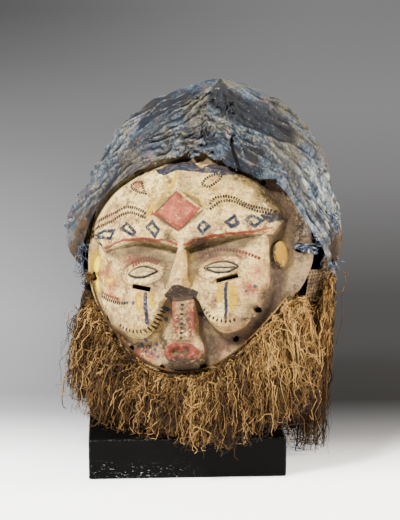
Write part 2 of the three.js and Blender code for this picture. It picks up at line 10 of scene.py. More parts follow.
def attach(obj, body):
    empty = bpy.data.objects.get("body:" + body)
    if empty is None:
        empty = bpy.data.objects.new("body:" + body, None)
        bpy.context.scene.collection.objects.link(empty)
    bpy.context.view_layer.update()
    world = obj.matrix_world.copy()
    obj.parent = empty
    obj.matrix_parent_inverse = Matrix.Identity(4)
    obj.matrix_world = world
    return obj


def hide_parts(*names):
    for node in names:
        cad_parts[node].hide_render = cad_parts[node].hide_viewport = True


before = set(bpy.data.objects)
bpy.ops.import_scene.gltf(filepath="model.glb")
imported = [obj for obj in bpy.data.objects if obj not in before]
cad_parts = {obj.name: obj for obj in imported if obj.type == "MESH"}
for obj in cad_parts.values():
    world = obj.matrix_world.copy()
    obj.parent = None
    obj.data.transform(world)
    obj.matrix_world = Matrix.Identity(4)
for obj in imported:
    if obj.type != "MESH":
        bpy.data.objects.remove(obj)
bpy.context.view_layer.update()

MM = 0.001

# How the mask and the hood sit on the stand: a place, and angles in degrees
MASK_AT = (16, 9, 236)
TURN = 21
LEAN = 18
ROLL = 7

# The carved plate, in the mask's own frame: x to the viewer's right, z up the face, heights towards
# the viewer. Where a size is a pair, it is for the viewer's left and right.
HALF_WIDTH = 136
HALF_HEIGHT = 143
NARROWING = (0.13, 0.23)
BOW = 50
FALL = 6
PLATE = 9
HOLE_RADIUS = 3.8
TIE_HOLE_RADIUS = 5.5
LASHINGS = ((-62, 99), (60, 92), (87, 75), (-101, -68), (-71, -106), (-32, -131), (18, -132),
            (54, -102), (80, -71))
TIE_HOLES = ((123, 0), (-124, -16))
SLITS = ((-47, -42), (52, -37))
SLIT_LENGTH = 25
SLIT_HEIGHT = 5.6
SLIT_TILT = 15
BROW_ROOT = -1
BROW_ARCH = 14
BROW_SPREAD = 22
BROW_CORNER = 98
BROW_LEDGE = 4
FOREHEAD_HALF_WIDTH = (133, 116)
FOREHEAD_FROM = 20
FOREHEAD_TOP = 105
FOREHEAD_RELIEF = 22
FOREHEAD_CROWN = 0.68
KEEL = 6
LOZENGE_Z = 42
LOZENGE_HALF_WIDTH = 28
LOZENGE_HALF_HEIGHT = 24
LOZENGE_RAISE = 2.5
CHEEK_X = (54, 47)
CHEEK_Z = -25
CHEEK_OUTER = (63, 51)
CHEEK_INNER = (41, 35)
CHEEK_DROP = (77, 76)
CHEEK_POWER = 1.95
CHEEK_RELIEF = 25
CHEEK_RIM = 19
CHEEK_FULL_X = 47
CHEEK_RIM_X = 100
SOCKET_RELIEF = (5, 16)
EYE_X = 46
EYE_Z = -24.5
EYE_HALF_WIDTH = 19
EYE_HALF_HEIGHT = 6.5
EYE_RELIEF = 4.5
LID_RELIEF = 4
NOSE_TIP_Z = -42
NOSE_BASE_Z = -60
NOSE_ROOT_HALF_WIDTH = 9
NOSE_BASE_HALF_WIDTH = 24
NOSE_ROOT_RELIEF = 17
NOSE_TIP_RELIEF = 36
NOSE_BASE_RELIEF = 19
PILLAR_X = 2
PILLAR_HALF_WIDTH = 15
PILLAR_RELIEF = 21
MOUTH_X = -2
MOUTH_Z = -117
MOUTH_HALF_WIDTH = 20
MOUTH_HALF_HEIGHT = 11.5
MOUTH_RELIEF = 22
LIP_RELIEF = 5
CHIN_RELIEF = 15
EAR_X = (-114, 104)
EAR_Z = -8
EAR_HALF_WIDTH = 7
EAR_HALF_HEIGHT = 16
EAR_RELIEF = 12
SET_BACK = 1.3
HOLLOW_HALF_WIDTH = 104
HOLLOW_HALF_HEIGHT = 112
HOLLOW_DEPTH = 15
LEAST_WOOD = 8

# The hood's dome, in a frame at the mask's place and turned with it, heights from the floor
DOME_X = -3
DOME_Y = 52
DOME_Z = 199
DOME_HEIGHT = 236
DOME_HALF_WIDTH = 158
DOME_FRONT = 75
DOME_BACK = 116
DOME_PEAK = 14
NECK_FROM = 262
NECK_TO = 186
NECK_SHRINK = 0.11


def mix(a, b, t):
    return a + (b - a) * t


def ramp(start, end, v):
    t = np.clip((v - start) / (end - start), 0, 1)
    return t * t * (3 - 2 * t)


def by_side(x, pair):
    return np.where(x < 0, *pair)


def over(a, b, soft):
    """The larger of two heights, with the corner between them rounded."""
    return np.maximum(a, b) + np.maximum(0, soft - np.abs(a - b)) ** 2 / (4 * soft)


def hashed(i, j, k, seed):
    """A number from 0 to 1 that belongs to a lattice point."""
    h = (i * 73856093) ^ (j * 19349663) ^ (k * 83492791) ^ (seed * 961748941)
    h = ((h ^ (h >> 13)) * 1274126177) & 0xFFFFFFFF
    h = ((h ^ (h >> 15)) * 668265263) & 0xFFFFFFFF
    return ((h >> 8) & 0xFFFF) / 65535


def rumple(x, y, z, size, seed=0):
    """Smooth noise from -1 to 1 with features of about that size."""
    total = 0
    cells, shares = [], []
    for v in (x, y, z):
        p = np.asarray(v, float) / size
        low = np.floor(p).astype(np.int64)
        f = p - low
        cells.append(low)
        shares.append(f * f * (3 - 2 * f))
    for corner in range(8):
        bits = (corner & 1, corner >> 1 & 1, corner >> 2 & 1)
        weight = 1
        for bit, share in zip(bits, shares):
            weight = weight * (share if bit else 1 - share)
        total = total + weight * hashed(*(c + b for c, b in zip(cells, bits)), seed)
    return total * 2 - 1


# The carving
def outline_half_width(x, z):
    return HALF_WIDTH * (1 - by_side(x, NARROWING) * ramp(0, -HALF_HEIGHT, z))


def shield(x, z):
    return BOW * (1 - (x / HALF_WIDTH) ** 2) - FALL * (z / HALF_HEIGHT) ** 2


def brow_line(x):
    arch = BROW_ARCH * (1 - np.exp(-np.abs(x) / BROW_SPREAD))
    left = 5 * np.exp(-(((x + 50) / 26) ** 2))
    return BROW_ROOT + arch + 0.03 * x + left + 1.3 * np.maximum(0, np.abs(x) - BROW_CORNER)


def forehead_radius(x, z):
    up = np.maximum(0, z - FOREHEAD_FROM) / (FOREHEAD_TOP - FOREHEAD_FROM)
    return np.hypot(x / by_side(x, FOREHEAD_HALF_WIDTH), up)


def in_lozenge(x, z):
    return 1 - np.abs(x) / LOZENGE_HALF_WIDTH - np.abs(z - LOZENGE_Z) / LOZENGE_HALF_HEIGHT


def forehead(x, z):
    up = np.clip((z - FOREHEAD_FROM) / (FOREHEAD_TOP - FOREHEAD_FROM), 0, 1)
    dome = (1 - ramp(0.84, 1.01, forehead_radius(x, z))) * mix(1, FOREHEAD_CROWN, up)
    fade = ramp(LOZENGE_Z + 3, LOZENGE_Z + 20, z) * ramp(0, 0.4, dome)
    keel = KEEL * np.exp(-np.abs(x) / 9) * fade
    root = 5 * np.exp(-((x / 13) ** 2)) * ramp(18, -2, z)
    return FOREHEAD_RELIEF * dome + keel - root + LOZENGE_RAISE * ramp(0, 0.12, in_lozenge(x, z))


def cheek_radius(x, z):
    """0 in the middle of a cheek disc and 1 along its edge."""
    side = np.abs(x) - by_side(x, CHEEK_X)
    below = np.maximum(0, CHEEK_Z - z) / by_side(x, CHEEK_DROP)
    inner = -side / by_side(x, CHEEK_INNER) * ramp(0.1, 0.5, below)
    across = np.where(side > 0, side / by_side(x, CHEEK_OUTER), inner)
    return (np.abs(across) ** CHEEK_POWER + below ** CHEEK_POWER) ** (1 / CHEEK_POWER)


def cheek(x, z):
    """The sunk socket under the brow, which swells into the cheek."""
    socket = mix(*SOCKET_RELIEF, ramp(20, 95, np.abs(x)))
    outwards = np.clip((np.abs(x) - CHEEK_FULL_X) / (CHEEK_RIM_X - CHEEK_FULL_X), 0, 1)
    full = mix(CHEEK_RELIEF, CHEEK_RIM, outwards)
    swell = mix(socket, full, ramp(brow_line(x) - 2, -52, z))
    return swell * (1 - ramp(0.85, 1.01, cheek_radius(x, z)))


def eye(x, z):
    u = (np.abs(x) - EYE_X) / EYE_HALF_WIDTH
    v = (z - EYE_Z) / EYE_HALF_HEIGHT
    lid = LID_RELIEF * np.maximum(0, 1 - (u / 1.5) ** 2 - (v / 2.4) ** 2)
    return lid + EYE_RELIEF * np.sqrt(np.clip(1 - u * u - np.abs(v) + 0.03, 0, 1))


def nose(x, z):
    down = np.clip(z / NOSE_TIP_Z, 0, 1)
    half_width = mix(NOSE_ROOT_HALF_WIDTH, NOSE_BASE_HALF_WIDTH, down ** 1.4)
    s = np.minimum(1, np.abs(x + 1.5 * down) / half_width)
    tip = NOSE_TIP_Z - 9 * s * s
    under = np.clip((tip - z) / (tip - NOSE_BASE_Z), 0, 1)
    height = mix(mix(NOSE_ROOT_RELIEF, NOSE_TIP_RELIEF, down), NOSE_BASE_RELIEF, under)
    return height * (1 - s ** 2.1) * ramp(12, 2, z) * ramp(NOSE_BASE_Z - 4, NOSE_BASE_Z, z)


def pillar(x, z):
    """The bar from the nose down to the mouth."""
    off = np.abs(x - PILLAR_X) - PILLAR_HALF_WIDTH - 4 * ramp(-95, -112, z)
    return PILLAR_RELIEF * (1 - ramp(-3.5, 3.5, off)) * ramp(-40, -50, z) * ramp(-128, -114, z)


def mouth(x, z):
    u = np.abs(x - MOUTH_X) / MOUTH_HALF_WIDTH
    v = np.abs(z - MOUTH_Z) / MOUTH_HALF_HEIGHT
    r = (u ** 2.4 + v ** 2.4) ** (1 / 2.4)
    lips = LIP_RELIEF * np.maximum(0, 1 - ((r - 0.78) / 0.34) ** 2)
    gap = 3 * np.maximum(0, 1 - (u / 0.62) ** 4 - (v / 0.3) ** 2)
    return MOUTH_RELIEF * (1 - ramp(0.92, 1.16, r)) + lips - gap


def chin(x, z):
    return CHIN_RELIEF * (1 - ramp(14, 26, np.abs(x))) * ramp(-137, -126, z) * ramp(-100, -118, z)


def ear(x, z):
    r = np.hypot((x - by_side(x, EAR_X)) / EAR_HALF_WIDTH, (z - EAR_Z) / EAR_HALF_HEIGHT)
    return EAR_RELIEF * np.sqrt(np.maximum(0, 1 - r ** 3))


def carved(x, z):
    """Height of the carved front in front of the side edges' plane."""
    line = brow_line(x)
    face = mix(cheek(x, z) + eye(x, z), forehead(x, z), ramp(line - BROW_LEDGE, line, z))
    middle = over(nose(x, z), over(pillar(x, z), over(mouth(x, z), chin(x, z), 2), 2), 2)
    return shield(x, z) + over(over(face, middle, 3), ear(x, z), 1) - SET_BACK


def hollowed(x, z):
    """Height of the hollowed back, which stays clear of every dip in the front."""
    inside = np.minimum(1, np.hypot(x / HOLLOW_HALF_WIDTH, z / HOLLOW_HALF_HEIGHT))
    dish = HOLLOW_DEPTH * np.sqrt(1 - inside ** 2.5)
    near = np.min([carved(x + dx, z + dz) for dx in (-6, 0, 6) for dz in (-6, 0, 6)], axis=0)
    lowest = mix(near - LEAST_WOOD, 2 * BOW, ramp(0.8, 1, inside))
    return np.minimum(shield(x, z) - PLATE + dish, lowest)


# Meshes
def turned(angle, axis):
    return Matrix.Rotation(math.radians(angle), 4, axis)


MASK_PLACE = (Matrix.Translation(Vector(MASK_AT)) @ turned(-TURN, "Z") @ turned(-LEAN, "X")
              @ turned(-ROLL, "Y"))
HEAD_PLACE = Matrix.Translation(Vector((MASK_AT[0], MASK_AT[1], 0))) @ turned(-TURN, "Z")


def placed(points, place):
    """Points in a part's own frame brought into the row frame."""
    m = np.array(place)
    return points @ m[:3, :3].T + m[:3, 3]


def points_of(piece):
    flat = np.empty(len(piece.data.vertices) * 3)
    piece.data.vertices.foreach_get("co", flat)
    return flat.reshape(-1, 3)


def move_points(piece, points):
    piece.data.vertices.foreach_set("co", np.ascontiguousarray(points, dtype=np.float32).ravel())
    piece.data.update()


def store(piece, name, *channels):
    """Up to three numbers for each point, for the materials to read."""
    values = np.zeros((len(piece.data.vertices), 3), dtype=np.float32)
    for k, channel in enumerate(channels):
        values[:, k] = channel
    layer = piece.data.attributes.new(name, "FLOAT_VECTOR", "POINT")
    layer.data.foreach_set("vector", values.ravel())


def select_only(piece):
    bpy.ops.object.select_all(action="DESELECT")
    piece.select_set(True)
    bpy.context.view_layer.objects.active = piece


def grid_sheet(name, columns, rows):
    """A square of cells from -1 to 1 in x and y, to be shaped point by point."""
    bpy.ops.object.select_all(action="DESELECT")
    bpy.ops.mesh.primitive_grid_add(x_subdivisions=columns, y_subdivisions=rows, size=2)
    piece = bpy.context.object
    piece.name = name
    return piece


def slab(name, columns, rows):
    """The same square with a second layer of cells a unit above it, closed all round."""
    piece = grid_sheet(name, columns, rows)
    bpy.ops.object.mode_set(mode="EDIT")
    bpy.ops.mesh.select_all(action="SELECT")
    bpy.ops.mesh.extrude_region_move(TRANSFORM_OT_translate={"value": (0, 0, 1)})
    bpy.ops.object.mode_set(mode="OBJECT")
    return piece


def face_outwards(piece, merge=0.0):
    select_only(piece)
    bpy.ops.object.mode_set(mode="EDIT")
    bpy.ops.mesh.select_all(action="SELECT")
    if merge:
        bpy.ops.mesh.remove_doubles(threshold=merge)
    bpy.ops.mesh.normals_make_consistent(inside=False)
    bpy.ops.object.mode_set(mode="OBJECT")


def apply(piece, kind, **settings):
    select_only(piece)
    modifier = piece.modifiers.new(kind, kind)
    for key, value in settings.items():
        setattr(modifier, key, value)
    bpy.ops.object.modifier_apply(modifier=modifier.name)


def smooth(piece, angle):
    select_only(piece)
    bpy.ops.object.shade_smooth_by_angle(angle=math.radians(angle))


def finish_piece(piece, material, slot, *nodes):
    piece.data.materials.clear()
    piece.data.materials.append(material)
    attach(piece, "root")
    if nodes:
        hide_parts(*nodes)
    return piece


# Shader maths
class Value:
    """A socket of a material; arithmetic on it adds Math nodes."""

    def __init__(self, finish, socket):
        self.finish = finish
        self.socket = socket

    def math(self, operation, *others):
        return self.finish.node("ShaderNodeMath", {"operation": operation}, self, *others)

    def __add__(self, other):
        return self.math("ADD", other)

    __radd__ = __add__

    def __mul__(self, other):
        return self.math("MULTIPLY", other)

    __rmul__ = __mul__

    def __sub__(self, other):
        return self.math("SUBTRACT", other)

    def __rsub__(self, other):
        return self.finish.node("ShaderNodeMath", {"operation": "SUBTRACT"}, other, self)

    def __truediv__(self, other):
        return self.math("DIVIDE", other)

    def least(self, other):
        return self.math("MINIMUM", other)

    def most(self, other):
        return self.math("MAXIMUM", other)

    def between(self, start, end):
        """0 at start, 1 at end and smooth between."""
        settings = {"interpolation_type": "SMOOTHSTEP"}
        return self.finish.node("ShaderNodeMapRange", settings, self, start, end, 0, 1)


class Finish:
    """A material while its nodes are made; its skin is the colour so far."""

    def __init__(self, name, roughness=0.8, specular=0.3, metallic=0.0):
        self.material = bpy.data.materials.new(name)
        self.material.use_nodes = True
        self.tree = self.material.node_tree
        self.shader = self.tree.nodes["Principled BSDF"]
        self.shader.inputs["Roughness"].default_value = roughness
        self.shader.inputs["Specular IOR Level"].default_value = specular
        self.shader.inputs["Metallic"].default_value = metallic
        self.place = self.node("ShaderNodeTexCoord", {}, out="Object")
        self.skin = None

    def node(self, kind, settings, *values, out=0):
        node = self.tree.nodes.new(kind)
        for key, value in settings.items():
            if key == "stops":
                self.set_stops(node.color_ramp, value)
            else:
                setattr(node, key, value)
        free = [s for s in node.inputs if s.enabled]
        for socket, value in zip(free, values):
            if isinstance(value, Value):
                self.tree.links.new(value.socket, socket)
            elif value is not None:
                socket.default_value = value
        shown = [s for s in node.outputs if s.enabled]
        return Value(self, shown[out] if isinstance(out, int) else node.outputs[out])

    @staticmethod
    def set_stops(ramp_of, stops):
        while len(ramp_of.elements) < len(stops):
            ramp_of.elements.new(0.5)
        for element, (at, color) in zip(ramp_of.elements, stops):
            element.position = at
            element.color = (*color, 1)

    def split(self, vector):
        return [self.node("ShaderNodeSeparateXYZ", {}, vector, out=k) for k in range(3)]

    def attribute(self, name):
        """The three numbers that store() kept."""
        return self.split(self.node("ShaderNodeAttribute", {"attribute_name": name}, out="Vector"))

    def vector(self, x, y, z):
        return self.node("ShaderNodeCombineXYZ", {}, x, y, z)

    def noise(self, size, detail=3.0, rough=0.55, at=None, seed=0.0):
        """Noise from 0 to 1 with features of about that size in mm."""
        at = at or self.place
        shifted = self.node("ShaderNodeVectorMath", {"operation": "ADD"}, at, (seed, seed * 1.7, seed * 0.6))
        return self.node("ShaderNodeTexNoise", {}, shifted, 1 / (size * MM), detail, rough)

    def blend(self, a, b, amount):
        a, b = [(*c, 1) if isinstance(c, tuple) else c for c in (a, b)]
        return self.node("ShaderNodeMix", {"data_type": "RGBA"}, amount, a, b)

    def ramp(self, value, *stops):
        return self.node("ShaderNodeValToRGB", {"stops": stops}, value)

    def coat(self, tone, amount):
        """Lays a tone over the skin."""
        self.skin = self.blend(self.skin, tone, amount)

    def link(self, value, name):
        self.tree.links.new(value.socket, self.shader.inputs[name])

    def done(self, roughness, relief, depth):
        """The finished material; depth is in mm for a relief from 0 to 1."""
        bump = self.tree.nodes.new("ShaderNodeBump")
        bump.inputs["Strength"].default_value = 1
        bump.inputs["Distance"].default_value = depth * MM
        self.tree.links.new(relief.socket, bump.inputs["Height"])
        self.tree.links.new(bump.outputs["Normal"], self.shader.inputs["Normal"])
        self.link(roughness, "Roughness")
        self.link(self.skin, "Base Color")
        return self.material


# The painted decoration, in the mask's frame
RED_FILLED = (
    ((-32, 42), (-2, 65), (23, 43), (0, 19)),
)
RED_LINES = (
    (1.5, ((-97, 10), (-81, 13), (-65, 15), (-45, 14), (-22, 10), (-11, 8), (-4, 4))),
    (1.5, ((4, 3), (20, 8), (38, 11), (55, 13), (72, 14), (87, 16), (100, 19))),
    (1.9, ((-32, 42), (0, 19), (23, 43))),
)
LIPS = ((-24, -117), (-18, -109), (-7, -106.5), (-2, -108), (3, -106.5), (14, -109), (20, -117),
        (14, -126), (-2, -129), (-18, -126))
BLUE_FILLED = (
    ((-25, 87), (-33, 96), (-24, 93), (-17, 100), (-11, 105), (-3, 107), (8, 104), (16, 97),
     (25, 90), (30, 95), (41, 97), (51, 95), (62, 90), (70, 83), (49, 80), (39, 83), (28, 84),
     (16, 86), (4, 88), (-4, 88), (-18, 85)),
    ((-57, 93), (-50, 96), (-47, 91), (-51, 89)),
    ((88, 34), (104, 38), (112, 33), (98, 24)),
)
BLUE_RINGS = (
    ((-117, 25), (-98, 32), (-82, 29), (-88, 19)),
    ((-66, 36), (-53, 22), (-58, 18), (-76, 29)),
    ((-32, 34), (-23, 22), (-29, 13), (-41, 27)),
    ((28, 29), (36, 21), (27, 13), (20, 21)),
    ((62, 34), (67, 24), (59, 19), (51, 26)),
    ((72, 28), (79, 35), (93, 28), (83, 19)),
)
LEAF = ((-128, 33), (-113, 25), (-101, 14), (-116, 21))
# Painted shade on the nose's underside
SHADE_UNDER_NOSE = ((-19, -53), (-12, -48), (-4, -44), (3, -44), (12, -47), (21, -52), (19, -58),
              (8, -60), (-14, -60))
TEARS = ((2.3, ((-41, -50), (-42, -66), (-40, -82))), (1.7, ((52, -43), (51, -62), (50, -82))))
YELLOW_LINES = (
    (2.2, ((-3, 100), (-3, 88), (-5, 76), (-12, 68), (-21, 59), (-37, 43))),
    (1.5, ((8, 62), (18, 55), (29, 45))),
    (3.2, ((-51, -51), (-50, -64))),
    (3.4, ((-33, -52), (-33, -63))),
    (3.0, ((45, -45), (45, -62))),
    (3.2, ((58, -46), (58, -68))),
)
YELLOW_FILLED = (((-131, 12), (-120, 14), (-104, 4), (-112, -2), (-121, -9), (-132, -6)),)
DOT_ROWS = (
    # spacing, hue (0 black, 0.5 blue, 1 red), points
    (3.1, 0, ((-128, 36), (-113, 42), (-94, 47), (-77, 51), (-69, 54), (-57, 52), (-45, 46), (-42, 43))),
    (3.1, 0, ((-129, 31), (-108, 36), (-88, 40), (-75, 45), (-63, 47), (-54, 44), (-42, 38))),
    (2.9, 0, ((35, 47), (38, 52), (42, 55), (52, 56), (61, 54), (71, 48), (79, 44), (92, 41), (103, 39))),
    (2.9, 0, ((35, 41), (42, 47), (47, 50), (55, 51), (63, 49), (76, 42), (86, 38), (98, 36))),
    (2.8, 0, ((26, 71), (30, 77), (35, 80), (42, 82), (47, 79), (45, 75), (40, 71), (33, 67), (26, 71))),
    (2.8, 0, ((-62, 78), (-55, 82), (-47, 80), (-44, 71), (-41, 66), (-51, 69), (-57, 73), (-62, 78))),
    (5.2, 0, ((2, -62), (0, -81), (-1, -102))),
    (5.0, 0, ((-79, -80), (-71, -86), (-59, -90), (-46, -91), (-36, -87), (-30, -79), (-25, -70))),
    (4.6, 0.1, ((26, -70), (33, -79), (42, -84), (52, -86), (62, -83))),
    (3.2, 0.25, ((-105, -44), (-95, -50), (-78, -56), (-70, -57))),
    (3.4, 0.75, ((-104, -40), (-94, -46), (-80, -51))),
    (3.4, 0.75, ((-62, -12), (-50, -7), (-39, -7), (-28, -12))),
    (3.4, 0.75, ((-60, -16), (-50, -11), (-39, -11), (-30, -15))),
    (3.6, 0.8, ((19, -12), (29, -5), (42, -3), (58, -5), (73, -9), (86, -15))),
)
SPOTS = (
    # radius, hue, place
    (2.2, 0.5, (-67, -57)), (2.3, 0.5, (-58, -58)), (2.4, 0.5, (-22, -66)), (2.3, 0.5, (-24, -77)),
    (2.6, 0.5, (-57, -103)), (2, 0.5, (-50, -99)), (2.2, 0.5, (-46, -106)), (1.9, 0.5, (-40, -110)),
    (2, 0.5, (-52, -111)), (2, 0.5, (-44, -114)), (1.9, 0.5, (-36, -118)), (1.8, 0.5, (-37, -105)),
    (2.6, 0, (19, -74)), (1.9, 0, (22, -80)), (1.8, 0.5, (72, -52)), (2, 0.5, (81, -47)),
)
# Soft washes of colour: strength, place, half width and half height
PINK_WASHES = (
    (1, (77, -50), (15, 10)), (0.8, (-98, -17), (12, 9)), (1.5, (-8, -80), (6, 26)),
    (1.5, (11, -80), (6, 26)), (0.8, (-88, -36), (12, 12)), (0.8, (84, -30), (10, 10)),
    (0.6, (1, -84), (12, 26)), (1.3, (-56, -113), (26, 10)), (0.9, (-84, -96), (14, 12)),
    (0.7, (34, -112), (12, 12)), (0.6, (60, -96), (16, 12)), (0.5, (20, -118), (8, 14)),
    (0.8, (-110, -16), (7, 12)), (0.55, (36, -14), (22, 5)), (0.5, (66, -10), (20, 6)),
    (0.5, (-60, -52), (16, 7)), (0.8, (37, 75), (7, 4)), (0.8, (-52, 77), (6, 5)),
    (0.8, (-82, 45), (22, 4)), (0.9, (-60, -8), (22, 6)), (0.9, (-84, -34), (12, 10)),
)
OCHRE_WASHES = (
    (1.3, (106, -8), (8, 18)), (1.5, (-116, -4), (12, 13)), (1.2, (-117, -26), (8, 15)),
    (0.5, (0, 100), (5, 12)), (0.45, (-58, -90), (26, 8)), (0.35, (40, -88), (18, 9)),
    (0.5, (-20, 40), (30, 30)), (0.35, (88, -10), (8, 12)), (0.4, (54, 60), (60, 30)),
    (0.8, (10, -12), (8, 14)), (0.8, (12, -36), (8, 12)), (0.9, (-92, -28), (14, 8)),
    (0.9, (58, -56), (7, 14)), (0.9, (-50, -58), (5, 14)),
)
# Dark washes: the black chin and a few stains, and much painted shade: under the brows and the hem, in the
# eye sockets, under the nose, beside the pillar and the mouth, on the right ear, the right cheek's edge and
# the flange
SHADE_AND_SOOT_WASHES = (
    (0.5, (2, -84), (18, 34)), (0.46, (-2, -119), (26, 13)), (0.6, (-88, -96), (22, 22)),
    (0.2, (0, 100), (34, 8)), (0.5, (109, -8), (5, 18)), (0.8, (22, -86), (5, 24)),
    (1.2, (100, -28), (6, 28)), (1.1, (93, -62), (8, 15)), (1, (78, -85), (14, 8)),
    (0.6, (-66, -104), (30, 6)), (0.3, (105, -75), (20, 24)), (0.35, (-30, -8), (16, 8)),
    (0.6, (-14, 12), (7, 9)), (2.6, (-2, -134), (24, 9)), (0.75, (100, 62), (22, 26)),
    (0.6, (70, 80), (26, 13)), (0.9, (-29, -104), (5, 12)), (1, (28, -108), (6, 16)),
    (0.5, (-30, -42), (8, 10)), (0.6, (26, -8), (14, 9)), (0.85, (108, 34), (16, 8)),
    (0.5, (97, 52), (18, 14)), (0.8, (20, 2), (12, 9)), (0.45, (-40, 4), (34, 6)),
    (0.75, (122, 30), (9, 36)), (0.4, (46, 0), (34, 6)), (0.5, (84, -80), (20, 16)),
    (0.35, (70, 4), (30, 7)), (0.35, (4, 72), (5, 18)), (0.5, (6, -56), (20, 5)),
    (0.4, (24, -90), (7, 20)), (0.35, (110, -50), (16, 22)),
)


def to_line(x, z, points, closed=False):
    """Distance from a line of points, and the way along it to the nearest place."""
    ends = list(points) + ([points[0]] if closed else [])
    best = np.full(x.shape, 1e6)
    along = np.zeros(x.shape)
    run = 0.0
    for (ax, az), (bx, bz) in zip(ends, ends[1:]):
        dx, dz = bx - ax, bz - az
        length = math.hypot(dx, dz)
        t = np.clip(((x - ax) * dx + (z - az) * dz) / length ** 2, 0, 1)
        away = np.hypot(x - ax - t * dx, z - az - t * dz)
        nearer = away < best
        best = np.where(nearer, away, best)
        along = np.where(nearer, run + t * length, along)
        run += length
    return best, along


def to_shape(x, z, points):
    """Distance from a filled outline, negative inside."""
    away, _ = to_line(x, z, points, closed=True)
    inside = np.zeros(x.shape, bool)
    for (ax, az), (bx, bz) in zip(points, (*points[1:], points[0])):
        crosses = (az > z) != (bz > z)
        where = ax + (z - az) * (bx - ax) / np.where(bz == az, 1, bz - az)
        inside ^= crosses & (x < where)
    return np.where(inside, -away, away)


def strokes(x, z, lines):
    """Distance from the edges of brush strokes, negative inside."""
    return np.min([to_line(x, z, points)[0] - half_width for half_width, points in lines], axis=0)


def patches(x, z, shapes):
    return np.min([to_shape(x, z, shape) for shape in shapes], axis=0)


def dots(x, z, spots):
    return np.min([np.hypot(x - cx, z - cz) - radius for radius, _, (cx, cz) in spots], axis=0)


def washes(x, z, spots):
    total = np.zeros(x.shape)
    for strength, (cx, cz), (w, h) in spots:
        total = np.maximum(total, strength * np.exp(-(((x - cx) / w) ** 2 + ((z - cz) / h) ** 2)))
    return total


def paint(piece, x, z, front):
    """Keeps the distances from every painted shape on the mask's points."""
    hx = x + 0.7 * rumple(x, 0 * x, z, 9, 3)
    hz = z + 0.7 * rumple(x, 0 * x, z, 9, 4)
    lips = to_shape(hx, hz, LIPS)
    gap = to_shape(hx, hz, ((-15, -117), (-2, -114.5), (11, -117), (-2, -119.5)))
    shapes = [patches(hx, hz, RED_FILLED) + 0.6, np.maximum(lips, -gap), strokes(hx, hz, RED_LINES)]
    red = np.min(shapes, axis=0)
    rings = [np.abs(to_shape(hx, hz, ring) + 1.2) - 1.9 for ring in BLUE_RINGS]
    blue = np.min([patches(hx, hz, BLUE_FILLED), *rings, strokes(hx, hz, TEARS)], axis=0)
    yellow = np.minimum(strokes(hx, hz, YELLOW_LINES), patches(hx, hz, YELLOW_FILLED))
    store(piece, "strokes", red, blue, yellow)
    store(piece, "washes", washes(x, z, PINK_WASHES), washes(x, z, OCHRE_WASHES), washes(x, z, SHADE_AND_SOOT_WASHES))

    u = (np.abs(hx) - EYE_X) / EYE_HALF_WIDTH
    v = (hz - EYE_Z) / EYE_HALF_HEIGHT
    lid_edge = np.abs(np.abs(v) - (1 - u * u)) * 5 + np.maximum(0, np.abs(u) - 1) * 20
    leaf = np.abs(to_shape(hx, hz, LEAF)) + 0.2
    parting = np.abs(v + 0.12) * 6.5 + np.maximum(0, np.abs(u) - 0.8) * 20
    lid_edge = np.minimum(lid_edge, parting + np.where(x > 0, 0, 0.8))
    # 1 inside an eye and -1 under the nose, where shade is painted
    inside = np.where(u ** 2 + np.abs(v) < 1, 1, 0) - ramp(0.6, -0.6, to_shape(hx, hz, SHADE_UNDER_NOSE))
    store(piece, "outlines", np.minimum(lid_edge, leaf), inside, front)

    near = np.full(x.shape, 1e6)
    along = np.zeros(x.shape)
    hue = np.zeros(x.shape)
    for spacing, kind, points in DOT_ROWS:
        away, run = to_line(x, z, points)
        row = np.maximum(0, away - 0.4) / min(spacing, 3.2)
        nearer = row < near
        near = np.where(nearer, row, near)
        along = np.where(nearer, run / spacing, along)
        # 2 is added to the hue where the dots stand well apart
        hue = np.where(nearer, kind + (2 if spacing > 4 else 0), hue)
    store(piece, "dots", along, near, hue)
    black = dots(x, z, [spot for spot in SPOTS if spot[1] == 0])
    blue = dots(x, z, [spot for spot in SPOTS if spot[1] > 0])
    store(piece, "spots", black, blue, np.maximum(0, in_lozenge(x, z)))


def on_oval(u, v):
    z = HALF_HEIGHT * v * np.sqrt(1 - u * u / 2)
    return outline_half_width(u, z) * u * np.sqrt(1 - v * v / 2), z


def crowd(t, power, at):
    reach = np.where(t > at, 1 - at, 1 + at)
    return at + np.sign(t - at) * reach * (np.abs(t - at) / reach) ** power


def carved_edges(x, z):
    """Distances in mm, roughly, from the carved edges that the points are to follow."""
    line = brow_line(x)
    yield z - line
    yield z - line + BROW_LEDGE
    yield LOZENGE_HALF_HEIGHT * in_lozenge(x, z)
    yield np.where(z < -45, np.abs(x - PILLAR_X) - PILLAR_HALF_WIDTH - 3.5, 1e3)
    beside = np.maximum(0, np.abs(x) - NOSE_BASE_HALF_WIDTH - 1)
    yield np.where(z > NOSE_BASE_Z - 6, z - NOSE_TIP_Z, 1e3) + beside


def slide(x, z, reach):
    """Moves points that lie close to a carved edge onto it, so that the edge isn't stepped."""
    step = 0.05
    best = np.full(x.shape, reach)
    moved_x, moved_z = x.copy(), z.copy()
    around = zip(*(list(carved_edges(a, b)) for a, b in
                   ((x, z), (x + step, z), (x - step, z), (x, z + step), (x, z - step))))
    for value, right, left, above, below in around:
        dx, dz = (right - left) / (2 * step), (above - below) / (2 * step)
        slope = np.maximum(dx * dx + dz * dz, 1e-4)
        away = np.abs(value) / np.sqrt(slope)
        hit = (slope > 0.01) & (away < best)
        best = np.where(hit, away, best)
        moved_x = np.where(hit, x - value * dx / slope, moved_x)
        moved_z = np.where(hit, z - value * dz / slope, moved_z)
    return moved_x, moved_z


